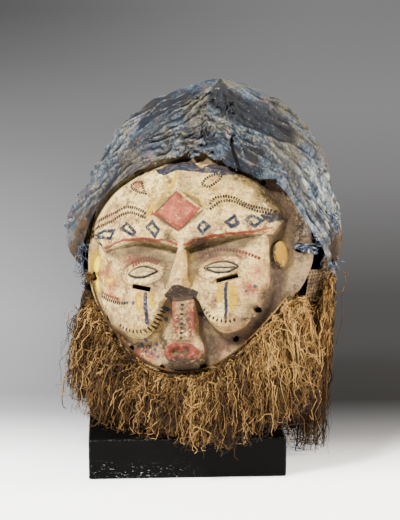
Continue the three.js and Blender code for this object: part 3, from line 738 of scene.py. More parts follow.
def cutters():
    """What bores the holes and the slits, as one object in the mask's frame."""
    bpy.ops.object.select_all(action="DESELECT")
    made = []
    for k, (x, z) in enumerate(LASHINGS + TIE_HOLES):
        radius = HOLE_RADIUS if k < len(LASHINGS) else TIE_HOLE_RADIUS
        bpy.ops.mesh.primitive_cylinder_add(
            vertices=20, radius=radius, depth=60, rotation=(math.pi / 2, 0, 0),
            location=(x, -float(shield(x, z)), z))
        made.append(bpy.context.object)
    for x, z in SLITS:
        bpy.ops.mesh.primitive_cube_add(
            size=1, location=(x, -float(shield(x, z)), z),
            rotation=(0, -math.copysign(math.radians(SLIT_TILT), x), 0))
        cube = bpy.context.object
        cube.scale = (SLIT_LENGTH, 120, SLIT_HEIGHT)
        made.append(cube)
    for piece in made:
        piece.select_set(True)
    bpy.context.view_layer.objects.active = made[0]
    bpy.ops.object.join()
    joined = bpy.context.object
    bpy.ops.object.transform_apply(location=True, rotation=True, scale=True)
    return joined


def carved_points(p):
    """The mask's points, in its own frame, from those of a square slab."""
    u = crowd(p[:, 0], 1.15, 0)
    v = crowd(p[:, 1], 1.15, -0.2)
    x, z = on_oval(u, v)
    inside = ramp(1, 0.85, np.hypot(x / HALF_WIDTH, z / HALF_HEIGHT))
    z = z + (brow_line(x) - 8) * np.exp(-(((z - 8) / 26) ** 2)) * inside
    inner = np.hypot(x / HALF_WIDTH, z / HALF_HEIGHT) < 0.93
    slid_x, slid_z = slide(x, z, 0.62)
    x, z = np.where(inner, slid_x, x), np.where(inner, slid_z, z)
    angle = np.arctan2(x, z)
    rim = np.maximum(np.abs(p[:, 0]), np.abs(p[:, 1]))
    # a worn, slightly wavy edge with a few chips, the largest at the lower right
    wave = 0.6 + 0.6 * rumple(np.cos(angle) * 60, np.sin(angle) * 60, 0 * x, 17, 7)
    chips = 2.2 * ramp(0.45, 0.9, rumple(np.cos(angle) * 60, np.sin(angle) * 60, 0 * x, 6, 8))
    notch = 4 * np.exp(-(((np.hypot(x - 118, z + 62)) / 9) ** 2))
    shrink = 1 - (wave + chips + notch) * ramp(0.9, 1, rim) / HALF_WIDTH
    x, z = x * shrink, z * shrink
    back = p[:, 2] > 0.5
    soft = np.clip((1 - rim) / 0.012, 0, 1)
    rounding = 2.2 * (1 - np.sqrt(1 - (1 - soft) ** 2))
    tool = 0.35 * rumple(x, 0 * x, z * 0.6, 9, 1) + 0.16 * rumple(x, 0 * x, z * 0.25, 2.6, 2)
    crust = 0.1 * rumple(x, 0 * x, z, 2.2, 5)
    crack = -0.9 * np.clip(1 - to_line(x, z, ((101, -31), (109, -40), (118, -49)))[0] / 0.9, 0, 1)
    corners = [carved(x + dx, z + dz) for dx in (-0.5, 0.5) for dz in (-0.5, 0.5)]
    front = (carved(x, z) + sum(corners)) / 5 + tool + crust + crack
    height = np.where(back, hollowed(x, z) + 0.8 * rumple(x, 0 * x, z, 12, 9), front)
    height = np.where(back, height + rounding * 0.4, height - rounding)
    return np.stack([x, -height, z], axis=1)


def carve_mask(material):
    """The plate with its holes, its painted pattern, its worn places and the shade painted into its hollows.
    """
    piece = slab("carved_mask", 204, 222)
    move_points(piece, carved_points(points_of(piece)))
    face_outwards(piece)
    cutter = cutters()
    apply(piece, "BOOLEAN", operation="DIFFERENCE", object=cutter, solver="EXACT")
    bpy.data.objects.remove(cutter)
    p = points_of(piece)
    x, z = p[:, 0], p[:, 2]
    front = np.where(-p[:, 1] > (carved(x, z) + hollowed(x, z)) / 2, 1.0, 0.0)
    paint(piece, x, z, front)
    # how deep each place lies, for the shade painted in hollows and corners; dirt by the holes; how low the
    # ground lies
    store(piece, "wear", hollows(x, z), dirt_by_holes(x, z), ramp(9, 1, carved(x, z) - shield(x, z)))
    move_points(piece, placed(p, MASK_PLACE) * MM)
    smooth(piece, 50)
    return finish_piece(piece, material, "painted_carving", "mask")


def hollows(x, z):
    """How deep a place lies below what is round it: 0 on open ground, about 1 in a tight corner."""
    here = carved(x, z)
    total = 0
    for reach in (3, 9, 20):
        ring = [carved(x + reach * math.cos(a), z + reach * math.sin(a))
                for a in np.arange(0, 2 * math.pi, 0.8)]
        total = total + np.clip((np.mean(ring, axis=0) - here) / reach, -0.6, 0.6)
    return total


def dirt_by_holes(x, z):
    away = np.min([np.hypot(x - cx, z - cz) for cx, cz in LASHINGS + TIE_HOLES], axis=0)
    return np.exp(-(np.maximum(0, away - 4) / 5))


def painted_wood():
    f = Finish("painted_kaolin_on_wood", roughness=0.82, specular=0.25)
    red, blue, yellow = f.attribute("strokes")
    pink, ochre, shade_and_soot = f.attribute("washes")
    outline, eye_or_nose, front = f.attribute("outlines")
    along, across, hue = f.attribute("dots")
    black_spots, blue_spots, lozenge = f.attribute("spots")
    hollow_shade, dirt, ground = f.attribute("wear")
    px, py, pz = f.split(f.place)
    broad = f.noise(45, 3, seed=1.0)
    patch = f.noise(12, 4, 0.6, seed=2.0)
    fine = f.noise(3.2, 4, 0.65, seed=3.0)
    speck = f.noise(1.3, 2, 0.6, seed=4.0)
    rub = f.noise(6, 5, 0.7, seed=5.0)

    crack = f.noise(2.4, 5, 0.7, at=f.vector(px * 0.3 + pz * 0.12, py, pz), seed=0.06)
    # the white ground, worn, stained and given painted shade, with its washes of ochre and pink
    f.skin = f.ramp(patch * 0.4 + fine * 0.4 + rub * 0.2, (0.385, (0.06, 0.032, 0.01)),
                    (0.455, (0.22, 0.135, 0.045)), (0.51, (0.46, 0.33, 0.125)), (0.6, (0.72, 0.56, 0.235)))
    f.coat((0.24, 0.145, 0.06), broad.between(0.44, 0.66) * rub.between(0.35, 0.65) * 0.85)
    # dirt with painted shade: darker on the low ground and the relief's walls, most on the viewer's right,
    # away from the key light
    f.coat((0.13, 0.088, 0.06), ground * px.between(-0.04, 0.12) * (patch * 2.4 - 0.55))
    f.coat((0.17, 0.11, 0.07), ground * fine.between(0.4, 0.6) * 0.45)
    f.coat((0.04, 0.024, 0.015), ground * rub.between(0.5, 0.64) * px.between(-0.06, 0.03) * 0.75)
    f.coat((0.32, 0.2, 0.002), (ochre * rub.between(0.33, 0.54)).least(0.95))
    f.coat((0.17, 0.016, 0.012), (pink * fine.between(0.38, 0.52)).least(0.92))
    # painted shapes: red, yellow and blue, then the eyes, painted shade under the nose, and dark washes of
    # stain and painted shade
    worn = rub.between(0.28, 0.44)
    edge = fine * 2.2 - 1.1
    in_red = (red + edge).between(0.6, -0.5)
    in_lozenge_area = lozenge.between(0.0, 0.06)
    red_tone = f.ramp(rub, (0.3, (0.22, 0.03, 0.016)), (0.5, (0.14, 0.008, 0.006)),
                      (0.68, (0.06, 0.004, 0.003)))
    pink_tone = f.ramp(patch * 0.5 + fine * 0.5, (0.36, (0.36, 0.1, 0.055)), (0.5, (0.2, 0.026, 0.017)),
                       (0.6, (0.12, 0.013, 0.01)))
    red_tone = f.blend(red_tone, pink_tone, in_lozenge_area * (red + 4).between(1.5, -0.5))
    f.coat(red_tone, in_red * worn * 0.94)
    f.coat((0.32, 0.195, 0.0), (yellow + edge * 1.4).between(1.2, -0.8) * fine.between(0.34, 0.48))
    blue_tone = f.ramp(rub, (0.36, (0.011, 0.025, 0.047)), (0.54, (0.0015, 0.005, 0.013)))
    f.coat(blue_tone, (blue + edge).between(0.6, -0.3) * worn)
    f.coat((0.26, 0.2, 0.1), eye_or_nose.between(0, 1) * 0.55)
    # painted shade on the nose's underside
    shade_under_nose = (eye_or_nose + (fine - 0.5) * 0.9).between(-0.2, -0.65)
    f.coat((0.011, 0.006, 0.003), shade_under_nose)
    f.coat((0.002, 0.004, 0.006), (outline + edge * 0.5).between(1.6, 0.5))
    # dark washes of stain, and of painted shade in recesses and on the viewer's right
    f.coat((0.007, 0.005, 0.0035), (shade_and_soot * (rub + fine).between(0.8, 1.1) * 1.8).least(0.96))
    # rows of dots
    dash = along.math("FRACT") - 0.5
    sparse = hue.between(1.4, 1.6)
    dot = (dash * dash * (sparse * 18 + 10) + across * across * 6.5 + (fine - 0.5) * 0.8).between(2.2, 1.3)
    dot_tone = f.ramp(hue - sparse * 2, (0.2, (0.001, 0.001, 0.001)), (0.5, (0.005, 0.01, 0.022)),
                      (0.75, (0.09, 0.008, 0.005)))
    f.coat(dot_tone, dot)
    f.coat((0.1, 0.055, 0.022), crack.between(0.535, 0.6) * 0.7)
    # painted shade in the hollows and corners, mottled like dirt and less on the lit low ground at the left;
    # single spots, specks, dirt by the holes, and the ears' strong ochre
    grime = (hollow_shade * 3.2 + (patch - 0.5) * 1.8).between(-0.05, 0.55)
    lit_left_ground = ground * px.between(0.0, -0.03) * 0.75
    f.coat((0.03, 0.017, 0.008), grime * (1 - lit_left_ground) * 0.76)
    f.coat((0.002, 0.002, 0.002), (black_spots + edge * 0.4).between(0.4, -0.4))
    f.coat((0.012, 0.026, 0.05), (blue_spots + edge * 0.5).between(0.4, -0.4) * 0.95)
    f.coat((0.03, 0.017, 0.008), speck.between(0.57, 0.66) * fine.between(0.38, 0.55) * 0.85)
    f.coat((0.03, 0.02, 0.014), dirt * fine.between(0.3, 0.6) * 0.8)
    # the ears' ochre: painted light on the left ear and painted shade on the right one
    ochre_lit_left_shaded_right = f.blend((0.2, 0.1, 0.0), (0.6, 0.43, 0.008), px.between(0.0, -0.05))
    f.coat(ochre_lit_left_shaded_right, ochre.between(0.7, 1.0) * rub.between(0.3, 0.46))
    wood = f.ramp(f.noise(14, 4, 0.6, seed=7.0), (0.35, (0.075, 0.045, 0.026)), (0.65, (0.17, 0.105, 0.06)))
    f.skin = f.blend(wood, f.skin, front)
    return f.done(0.74 + patch * 0.2, patch * 0.5 + fine * 0.35 + speck * 0.15, 0.8)


# The cloth on the hood's dome, in the head's frame: 0 degrees in front, 90 at the viewer's right
HEM = ((-180, 192), (-120, 200), (-95, 206), (-76, 206), (-68, 240), (-61, 272), (-55, 308), (-42, 336),
       (-20, 353), (4, 359), (25, 353), (45, 340), (57, 327), (63, 302), (69, 268),
       (80, 232), (92, 228), (120, 205), (180, 192))
# Where the cloth hangs lower: angle, spread, and how far it stands out
TAILS = ((-76, 13, 8), (78, 15, 1))
# Millimetres to a degree, on the cloth and on the hood
CLOTH_ARC = 2.4
HOOD_ARC = 2.6
# How far the cloth lies off the dome or the plate, and at least; the hood's skins lie under the dome
CLOTH_LIFT = 3.6
CLOTH_LEAST = 1.6
CLOTH_THICKNESS = 1.3
HOOD_OUTSIDE = 3.2
HOOD_INSIDE = 7.2
PLAIT = 3.2
# Folds that can be told apart: height, half width, then angle and height along the fold
FOLDS = (
    (4, 5, ((-56, 349), (-45, 371), (-23, 383), (7, 403), (20, 397), (34, 379))),
    (3.5, 4, ((7, 382), (28, 384), (50, 379), (66, 369), (68, 338))),
    (3.5, 3.5, ((-52, 352), (-39, 364), (-18, 378), (7, 382))),
    (3, 3.5, ((-54, 345), (-43, 350), (-23, 363), (-2, 362), (15, 357))),
    (2.5, 3, ((-44, 342), (-24, 354), (0, 357), (22, 352))),
    (4, 4, ((-56, 353), (-59, 340), (-61, 315), (-64, 280), (-68, 259))),
    (4, 4, ((-62, 348), (-65, 329), (-65, 301), (-67, 271))),
    (4, 4, ((-70, 340), (-72, 310), (-73, 270), (-74, 232))),
    (3, 5, ((43, 437), (65, 421), (76, 400), (80, 368), (92, 333), (93, 291))),
    (3, 5, ((38, 416), (60, 397), (70, 372), (72, 339), (72, 301))),
    (3, 4, ((50, 372), (62, 358), (65, 330), (66, 306))),
    (3.5, 3, ((40, 372), (44, 356), (47, 344))),
    (-6, 2.6, ((35, 374), (36, 362), (38, 352), (39, 340))),
    (-3, 3, ((-50, 342), (-30, 352), (-8, 359), (10, 356))),
    (-3, 4, ((-42, 364), (-20, 374), (4, 378), (30, 374))),
    (-3, 3.5, ((-60, 345), (-63, 320), (-66, 285), (-70, 250))),
)


def unrolled(line):
    """A line of angles and heights on the cloth, as if the cloth lay flat."""
    return [(angle * CLOTH_ARC, height) for angle, height in line]


def wrapped(angle):
    return (angle + 180) % 360 - 180


def dome_radius(angle, z):
    a = np.radians(angle)
    rise = np.maximum(0, z - DOME_Z) / DOME_HEIGHT
    shrink = np.sqrt(np.maximum(0, 1 - rise ** 2)) * (1 - NECK_SHRINK * ramp(NECK_FROM, NECK_TO, z))
    front = np.cos(a) > 0
    power = np.where(front, 3, 2.2)
    depth = np.where(front, DOME_FRONT, DOME_BACK)
    across = (np.abs(np.sin(a)) / DOME_HALF_WIDTH) ** power
    return shrink * (across + (np.abs(np.cos(a)) / depth) ** power) ** (-1 / power)


def settled(angle, z):
    """How far the hood and the cloth have sunk at the upper right."""
    return 11 * np.exp(-(((wrapped(angle) - 68) / 42) ** 2)) * np.exp(-(((z - 398) / 27) ** 2))


def around_head(angle, radius, z):
    """Points in the row frame at that distance from the dome's upright axis."""
    a = np.radians(angle)
    x = DOME_X + DOME_PEAK * np.clip((z - DOME_Z) / DOME_HEIGHT, 0, 1) ** 3
    points = np.stack(np.broadcast_arrays(x + radius * np.sin(a), DOME_Y - radius * np.cos(a), z), axis=-1)
    return placed(points, HEAD_PLACE)


def in_plate(points, clear):
    p = placed(points, MASK_PLACE.inverted())
    x, y, z = p[..., 0], -p[..., 1], p[..., 2]
    reach = 1 + clear / HALF_WIDTH
    r = np.hypot(x / outline_half_width(x, z), z / HALF_HEIGHT)
    return (r < reach) & (y < carved(x, z) + clear) & (y > shield(x, z) - PLATE - clear)


def widest_near(table, cells, axis):
    return np.max([np.roll(table, k, axis=axis) for k in range(-cells, cells + 1)], axis=0)


class Drape:
    """How far out the cloth lies on the dome, or on the plate where the plate stands further out."""

    ANGLE_STEP = 2.0
    HEIGHT_STEP = 3.0
    LOWEST = 180

    def __init__(self):
        self.angles = np.arange(-180, 181, self.ANGLE_STEP)
        self.heights = np.arange(self.LOWEST, 447, self.HEIGHT_STEP)
        angle, z = np.meshgrid(self.angles, self.heights, indexing="ij")
        table = dome_radius(angle, z)
        near = np.abs(self.angles) <= 120
        for radius in np.arange(60, 171, 1.5):
            hit = in_plate(around_head(angle[near], radius, z[near]), 2.5)
            table[near] = np.where(hit, np.maximum(table[near], radius), table[near])
        table = widest_near(widest_near(table, 2, 0), 2, 1)
        for axis in (0, 1, 0, 1):
            table = (np.roll(table, 1, axis=axis) + 2 * table + np.roll(table, -1, axis=axis)) / 4
        self.table = np.maximum(table, dome_radius(angle, z))

    def __call__(self, angle, z):
        angle = wrapped(angle)
        i = np.clip((angle + 180) / self.ANGLE_STEP, 0, len(self.angles) - 1.001)
        j = np.clip((z - self.LOWEST) / self.HEIGHT_STEP, 0, len(self.heights) - 1.001)
        a, b = i.astype(int), j.astype(int)
        s, t = i - a, j - b
        low = mix(self.table[a, b], self.table[a + 1, b], s)
        high = mix(self.table[a, b + 1], self.table[a + 1, b + 1], s)
        # near the crown the table is too coarse, and there is only the dome
        return np.where(z > 415, dome_radius(angle, z), mix(low, high, t))


def hem_height(angle):
    return np.interp(wrapped(angle), [a for a, _ in HEM], [z for _, z in HEM])


def ridge_lines(rng):
    """Long sharp folds: height, half width, how worn the ridge is, then angle and height along it."""
    lines = []
    for _ in range(74):
        # these run beside the hem, from the sides up over the forehead
        angle = rng.uniform(-88, 70)
        up = 3 + 70 * rng.random() ** 1.3
        count = rng.integers(5, 13)
        points = []
        for _ in range(count):
            points.append((angle, float(hem_height(angle)) + up))
            angle += 6
            up = max(1.5, up + rng.normal(0, 3.2))
            if angle > 86:
                break
        if len(points) > 2:
            lines.append((rng.uniform(1.1, 3.2), rng.uniform(1.5, 3.2), rng.random(), points))
    for _ in range(90):
        # and these fall from the crown down the sides and the back
        angle = rng.uniform(-180, 180)
        front = abs(angle) < 75
        height = rng.uniform(300, 430) if not front else rng.uniform(395, 432)
        lean = rng.normal(0, 5) + (math.copysign(7, angle - 10) if front else 0)
        points = []
        for _ in range(rng.integers(4, 11)):
            points.append((angle, height))
            angle += lean + rng.normal(0, 2.5)
            height -= rng.uniform(10, 17)
            if height < float(hem_height(angle)) + (45 if abs(angle) < 60 else 4):
                break
        if len(points) > 2 and max(abs(a) for a, _ in points) < 178:
            lines.append((rng.uniform(1.0, 3.0), rng.uniform(1.5, 3.4), rng.random(), points))
    return lines


def cloth_relief(angle, z):
    """Folds of the cloth: their height, how much a place is a worn ridge of one, and a groove that is
    painted as shadow.
    """
    s = angle * CLOTH_ARC
    total = np.zeros(angle.shape)
    ridge = np.zeros(angle.shape)
    ws = s + 2.5 * rumple(s, 0 * s, z, 13, 21) + 0.8 * rumple(s, 0 * s, z, 4.5, 34)
    wz = z + 2.5 * rumple(s, 0 * s, z, 13, 22) + 0.8 * rumple(s, 0 * s, z, 4.5, 35)
    for height, width, line in FOLDS:
        away, _ = to_line(ws, wz, unrolled(line))
        total = total + height * np.exp(-((away / width) ** 2))
        if height > 0:
            ridge = np.maximum(ridge, 0.6 * np.exp(-((away / 1.7) ** 2)))
    sharp = np.zeros(angle.shape)
    shadowed_crease = np.zeros(angle.shape)
    for height, width, worn, line in ridge_lines(np.random.default_rng(77)):
        line = unrolled(line)
        length = sum(math.dist(a, b) for a, b in zip(line, line[1:]))
        away, run = to_line(ws, wz, line)
        ends = ramp(0, 14, run) * ramp(length, length - 14, run)
        sharp = np.maximum(sharp, height * ends * np.exp(-((away / width) ** 1.4)))
        ridge = np.maximum(ridge, worn ** 1.5 * ends * np.exp(-((away / 1.3) ** 2)))
        # a groove below or to the right of each fold, which the colour darkens as painted shadow
        level = abs(line[-1][0] - line[0][0]) > abs(line[-1][1] - line[0][1])
        shift = 1.5 * width + 0.8
        beside, run = to_line(ws - (0 if level else shift), wz + (shift if level else 0), line)
        ends = ramp(0, 14, run) * ramp(length, length - 14, run)
        shadowed_crease = np.maximum(shadowed_crease, ends * min(1, height / 2) * np.exp(-((beside / 1.15) ** 2)))
    fine = 0.5 * rumple(ws, 0 * s, wz, 5, 29) + 0.25 * rumple(s, 0 * s, z, 2.6, 26)
    broad = 3 * rumple(s, 0 * s, z, 34, 28) + 1.4 * rumple(s, 0 * s, z, 15, 27)
    crown = ramp(438, 415, z)
    return (total * 0.9 + 1.8 * sharp - 2.2 * shadowed_crease - 1 + fine + broad) * crown, ridge, shadowed_crease * crown


def hang_cloth(material, drape):
    piece = grid_sheet("draped_head_cloth", 400, 114)
    p = points_of(piece)
    angle = (0.62 * p[:, 0] + 0.38 * p[:, 0] ** 3) * 180
    down = (p[:, 1] + 1) / 2
    s = angle * CLOTH_ARC
    wobble = 3 * rumple(s, 0 * s, 0 * s, 12, 31) + 1.5 * rumple(s, 0 * s, 0 * s, 4, 32)
    wobble[np.isclose(np.abs(angle), 180)] = 0
    hem = hem_height(angle)
    edge = hem + wobble
    top = DOME_Z + DOME_HEIGHT
    z = mix(top, edge, down ** 1.7)
    base = drape(angle, z)
    tail = sum(reach * np.exp(-(((angle - at) / spread) ** 2)) for at, spread, reach in TAILS)
    tail = tail * ramp(340, 250, z) * ramp(-4, 34, z - hem)
    # the seam at the nape closes, so what is drawn there is the same from both sides
    seam = ramp(180, 168, np.abs(angle))
    relief, ridge, shadowed_crease = cloth_relief(angle, z)
    relief = relief * seam
    base = base - settled(angle, z)
    out = base + tail + CLOTH_LIFT + relief * ramp(1.01, 0.97, down)
    out = np.where(down < 1e-4, 0, np.maximum(out, base + CLOTH_LEAST))
    out = out * np.minimum(1, down / 0.03) ** 0.2
    spot = around_head(angle, out, z + relief * 0.25 * ramp(430, 380, z))
    spot[:, 2] += 2.5 * (1 - ramp(0, 0.08, down))
    move_points(piece, spot * MM)
    side = np.maximum(ramp(28, 60, angle), ramp(-35, -60, angle))
    along = mix(s, z, side)
    across = mix(z - hem, s, side)
    store(piece, "lay", along * MM, across * MM, shadowed_crease)
    patch_line, _ = to_line(s, z, unrolled(((2, 430), (30, 418), (52, 405), (72, 385))))
    patch = ramp(24, 12, patch_line + 5 * rumple(s, 0 * s, z, 12, 33))
    patch = patch * ramp(-12, 4, angle + (430 - z) * 0.1)
    tan_edge = ramp(26, 12, z - hem) * ramp(-50, -56, angle) * ramp(-100, -85, angle)
    tan_edge = np.maximum(tan_edge, ramp(278, 256, z) * ramp(74, 80, angle) * ramp(112, 100, angle))
    # the slot's line; the colour paints its gap near black, as the shade inside it
    slot_line, _ = to_line(s, z, unrolled(((35, 374), (36, 362), (38, 352), (39, 336))))
    slot = np.exp(-((slot_line / 3.2) ** 2))
    store(piece, "cloth_marks", ridge, np.maximum(patch, 0), tan_edge)
    flap = ramp(62, 70, angle) * ramp(108, 92, angle) * ramp(360, 330, z)
    # the slot, the right flap, and how high the folds stand, from which the colour paints shade in the
    # valleys
    store(piece, "cloth_parts", slot, flap, np.clip(relief / 8 + 0.5, 0, 1))
    face_outwards(piece, 0.0002)
    apply(piece, "SOLIDIFY", thickness=CLOTH_THICKNESS * MM, offset=-1)
    smooth(piece, 60)
    return finish_piece(piece, material, "indigo_cloth", "head_cloth")


def loose_threads(material, drape):
    """Frayed threads: a bunch at the viewer's right, and single ones along the lower edges."""
    rng = np.random.default_rng(31)
    angle = np.concatenate([rng.normal(86, 4, 70), rng.uniform(-84, -66, 90), rng.uniform(66, 92, 60),
                            rng.uniform(-60, 60, 40)])
    n = len(angle)
    bunch = np.arange(n) < 70
    z = np.where(bunch, rng.normal(283, 7, n), hem_height(angle) + rng.uniform(-1, 3, n))
    start = around_head(angle, drape(angle, z) - settled(angle, z) + 3, z)
    away = fringe_away(angle)
    heading = away * 0.9 + rng.normal(0, 0.7, (n, 3)) + np.array([0, 0, -0.3])
    length = np.where(bunch, rng.uniform(8, 20, n),
                      np.where(np.abs(angle) > 62, rng.uniform(6, 26, n), rng.uniform(3, 8, n)))
    paths = strand_paths(rng, start, heading, length, rng.uniform(0.1, 0.5, n), rng.uniform(0.4, 1.2, n), 10)
    width = np.where(bunch, rng.uniform(0.8, 2, n), rng.uniform(0.5, 1, n))
    strands("frayed_threads", rng, boxed(paths), width, rng.random(n), material, "indigo_cloth")


def old_cloth():
    f = Finish("faded_indigo_cloth", roughness=0.92, specular=0.12)
    lay = f.node("ShaderNodeAttribute", {"attribute_name": "lay"}, out="Vector")
    along, across, shadowed_crease = f.attribute("lay")
    ridge, patch, tan_edge = f.attribute("cloth_marks")
    slot, flap, height = f.attribute("cloth_parts")
    streak_at = f.vector(along * 0.16, across, 0.0)
    streak = f.noise(4.2, 4, 0.6, at=streak_at, seed=0.1)
    thin_streak = f.noise(1.6, 3, 0.6, at=streak_at, seed=0.2)
    stain = f.noise(32, 4, 0.6, seed=3.1)
    mottle = f.noise(9, 4, 0.65, seed=2.2)
    fleck = f.noise(3.4, 3, 0.6, seed=1.3)
    grain = f.noise(1.5, 3, 0.7, seed=8.3)
    f.skin = f.ramp(mottle * 0.5 + streak * 0.25 + fleck * 0.25, (0.37, (0.01, 0.014, 0.022)),
                    (0.46, (0.03, 0.044, 0.064)), (0.54, (0.065, 0.088, 0.113)), (0.63, (0.15, 0.172, 0.18)))
    f.coat((0.1, 0.088, 0.06), stain.between(0.44, 0.62) * (0.4 + mottle * 0.8))
    f.coat((0.016, 0.026, 0.05), f.noise(26, 3, 0.6, seed=6.5).between(0.5, 0.62) * 0.55)
    f.coat((0.1, 0.055, 0.045), f.noise(22, 3, 0.6, seed=5.5).between(0.54, 0.68) * 0.6)
    f.coat((0.3, 0.25, 0.15), ridge * (fleck + grain * 0.5).between(0.66, 0.88) * (1 - patch) * 0.75)
    f.coat((0.34, 0.28, 0.17), thin_streak.between(0.6, 0.68) * fleck.between(0.4, 0.55) * 0.6)
    f.coat((0.055, 0.033, 0.014), tan_edge * (mottle + streak * 0.5).between(0.45, 0.8))
    f.coat((0.003, 0.0035, 0.004), streak.between(0.45, 0.36) * (tan_edge * 0.5 + 0.35))
    f.coat((0.004, 0.005, 0.007), thin_streak.between(0.43, 0.35) * 0.6)
    f.coat((0.014, 0.0145, 0.016), patch * (0.7 + mottle * 0.4))
    f.coat((0.3, 0.28, 0.23), fleck.between(0.63, 0.7) * grain.between(0.45, 0.55) * (patch * 0.6 + 0.2))
    light_blue = f.ramp(streak, (0.38, (0.04, 0.06, 0.09)), (0.5, (0.14, 0.18, 0.22)),
                        (0.62, (0.38, 0.36, 0.29)))
    f.coat(light_blue, flap * (1 - tan_edge) * mottle.between(0.36, 0.52) * 0.85)
    # painted shade in the valleys between the folds
    f.coat((0.006, 0.006, 0.008), (1 - height).between(0.5, 0.82) * 0.8)
    # painted shadow in the groove below or right of each sharp fold
    f.coat((0.009, 0.01, 0.014), shadowed_crease.between(0.15, 0.8) * (0.25 + mottle * 0.7))
    # the slot painted near black, as the shade inside its gap
    f.coat((0.002, 0.002, 0.002), slot.between(0.25, 0.6) * 0.98)
    weave_at = f.node("ShaderNodeVectorMath", {"operation": "MULTIPLY"}, lay, (1.0, 1.0, 0.0))
    warp, weft = [f.node("ShaderNodeTexWave", {"wave_type": "BANDS", "bands_direction": way}, weave_at,
                         900.0, 2.0, 1.0, out=1) for way in "XY"]
    relief = streak * 0.35 + thin_streak * 0.35 + warp * 0.08 + weft * 0.08 + grain * 0.15 + fleck * 0.3
    return f.done(0.85 + streak * 0.15, relief, 1.5)


# The raffia, as thousands of separate strands
# Angles round the face and round the head, heights of the lower ends, how far the strands swing out,
# and layers from the inside out: number of strands, range of depth, tone (lower inside, as painted shade
# deep in the mass), and steps of a strand
BEARD_FROM = 112
BEARD_TO = 258
BEARD_LOWEST = 54
BEARD_SIDE_ENDS = 100
BEARD_FLARE = 22
BEARD_LAYERS = (
    (3000, (0.0, 0.4), 0.14, 9),
    (2000, (0.3, 0.7), 0.32, 15),
    (2000, (0.5, 0.9), 0.48, 15),
    (2000, (0.75, 1.1), 0.64, 15),
)
FRINGE_FROM = 77
FRINGE_TO = 280
# at the viewer's right, behind, and at the left
FRINGE_ENDS = (10, 30, 62)
FRINGE_FLARE = (-16, 8)
FRINGE_LAYERS = (
    (3000, (0.0, 0.6), 0.12, 9),
    (1900, (0.5, 0.9), 0.26, 15),
    (1800, (0.8, 1.15), 0.4, 15),
)
BLOCK_HALF_WIDTH = 111
BLOCK_HALF_DEPTH = 85
BLOCK_TOP = 46
FLOOR_CLEAR = 6
STRAND_BOX = ((-163, 196), (-143, 202))


def rim(angle, inset, height):
    """Points of the plate's rim in the row frame, and the level way out from it there."""
    a = np.radians(angle)
    z = (HALF_HEIGHT - inset) * np.cos(a)
    x = (outline_half_width(np.sin(a), z) - inset) * np.sin(a)
    point = placed(np.stack([x, -carved(x, z) - height, z], axis=-1), MASK_PLACE)
    away = np.stack([np.sin(a), np.full(a.shape, -0.6), np.cos(a)], axis=-1) @ np.array(MASK_PLACE)[:3, :3].T
    away[:, 2] = 0
    return point, away / np.linalg.norm(away, axis=1)[:, None]


def unit(v):
    return v / np.maximum(1e-9, np.linalg.norm(v, axis=-1))[..., None]


def keep_clear(points):
    """Strands stay off the block and the floor."""
    x, y, z = points[..., 0], points[..., 1], points[..., 2]
    over_block = (np.abs(x) < BLOCK_HALF_WIDTH + 3) & (np.abs(y) < BLOCK_HALF_DEPTH + 3)
    points[..., 2] = np.maximum(z, np.where(over_block, BLOCK_TOP + 1.5, FLOOR_CLEAR))
    return points


def off_the_plate(points, clear):
    """Turns strands that stray in front of the plate out past its rim."""
    p = placed(points, MASK_PLACE.inverted())
    x, y, z = p[..., 0], -p[..., 1], p[..., 2]
    r = np.maximum(0.2, np.hypot(x / outline_half_width(x, z), z / HALF_HEIGHT))
    limit = 1 + clear / HALF_WIDTH
    over_it = (r < limit) & (y > shield(x, z) - PLATE - 2)
    p[..., [0, 2]] *= np.where(over_it, (limit + 0.25 * (limit - r)) / r, 1)[..., None]
    return placed(p, MASK_PLACE)


def crinkle(rng, paths, reach, wave, length):
    """The kinks and curls that a dried strand keeps, as an uneven winding about its path."""
    n, count, _ = paths.shape
    along = unit(np.gradient(paths, axis=1))
    side = unit(np.cross(along, rng.normal(size=(n, 1, 3)) + np.array([0, 0, 0.01])))
    up = np.cross(along, side)
    pace = (length / wave / count * 2 * math.pi)[:, None] * rng.uniform(0.3, 1.7, (n, count))
    phase = np.cumsum(pace, axis=1) + rng.uniform(0, 2 * math.pi, (n, 1))
    swing = reach[:, None] * rng.uniform(0.4, 1.4, (n, count)) * ramp(0, 0.25, np.linspace(0, 1, count))
    return paths + side * (swing * np.cos(phase))[..., None] + up * (swing * np.sin(phase))[..., None]


def boxed(paths):
    """Keeps strands in the object's box and off the block and the floor."""
    for axis, (low, high) in enumerate(STRAND_BOX):
        paths[..., axis] = np.clip(paths[..., axis], low, high)
    return keep_clear(paths)


def strand_paths(rng, start, heading, length, fall, curl, steps):
    """Each strand sets out along its heading, bends down under its weight, and wanders."""
    n = len(start)
    points = [start]
    way = unit(heading)
    spin = rng.normal(size=(n, 3))
    share = (length / steps)[:, None]
    for _ in range(steps):
        here = points[-1]
        lean = np.stack([rumple(*here.T, 13, 41 + c) for c in range(3)], axis=-1)
        spin = 0.45 * spin + 0.85 * rng.normal(size=(n, 3))
        down = np.array([0, 0, -1.0]) * fall[:, None]
        way = unit(way + down + curl[:, None] * (0.6 * spin + 0.9 * lean))
        points.append(here + way * share)
    return np.stack(points, axis=1)


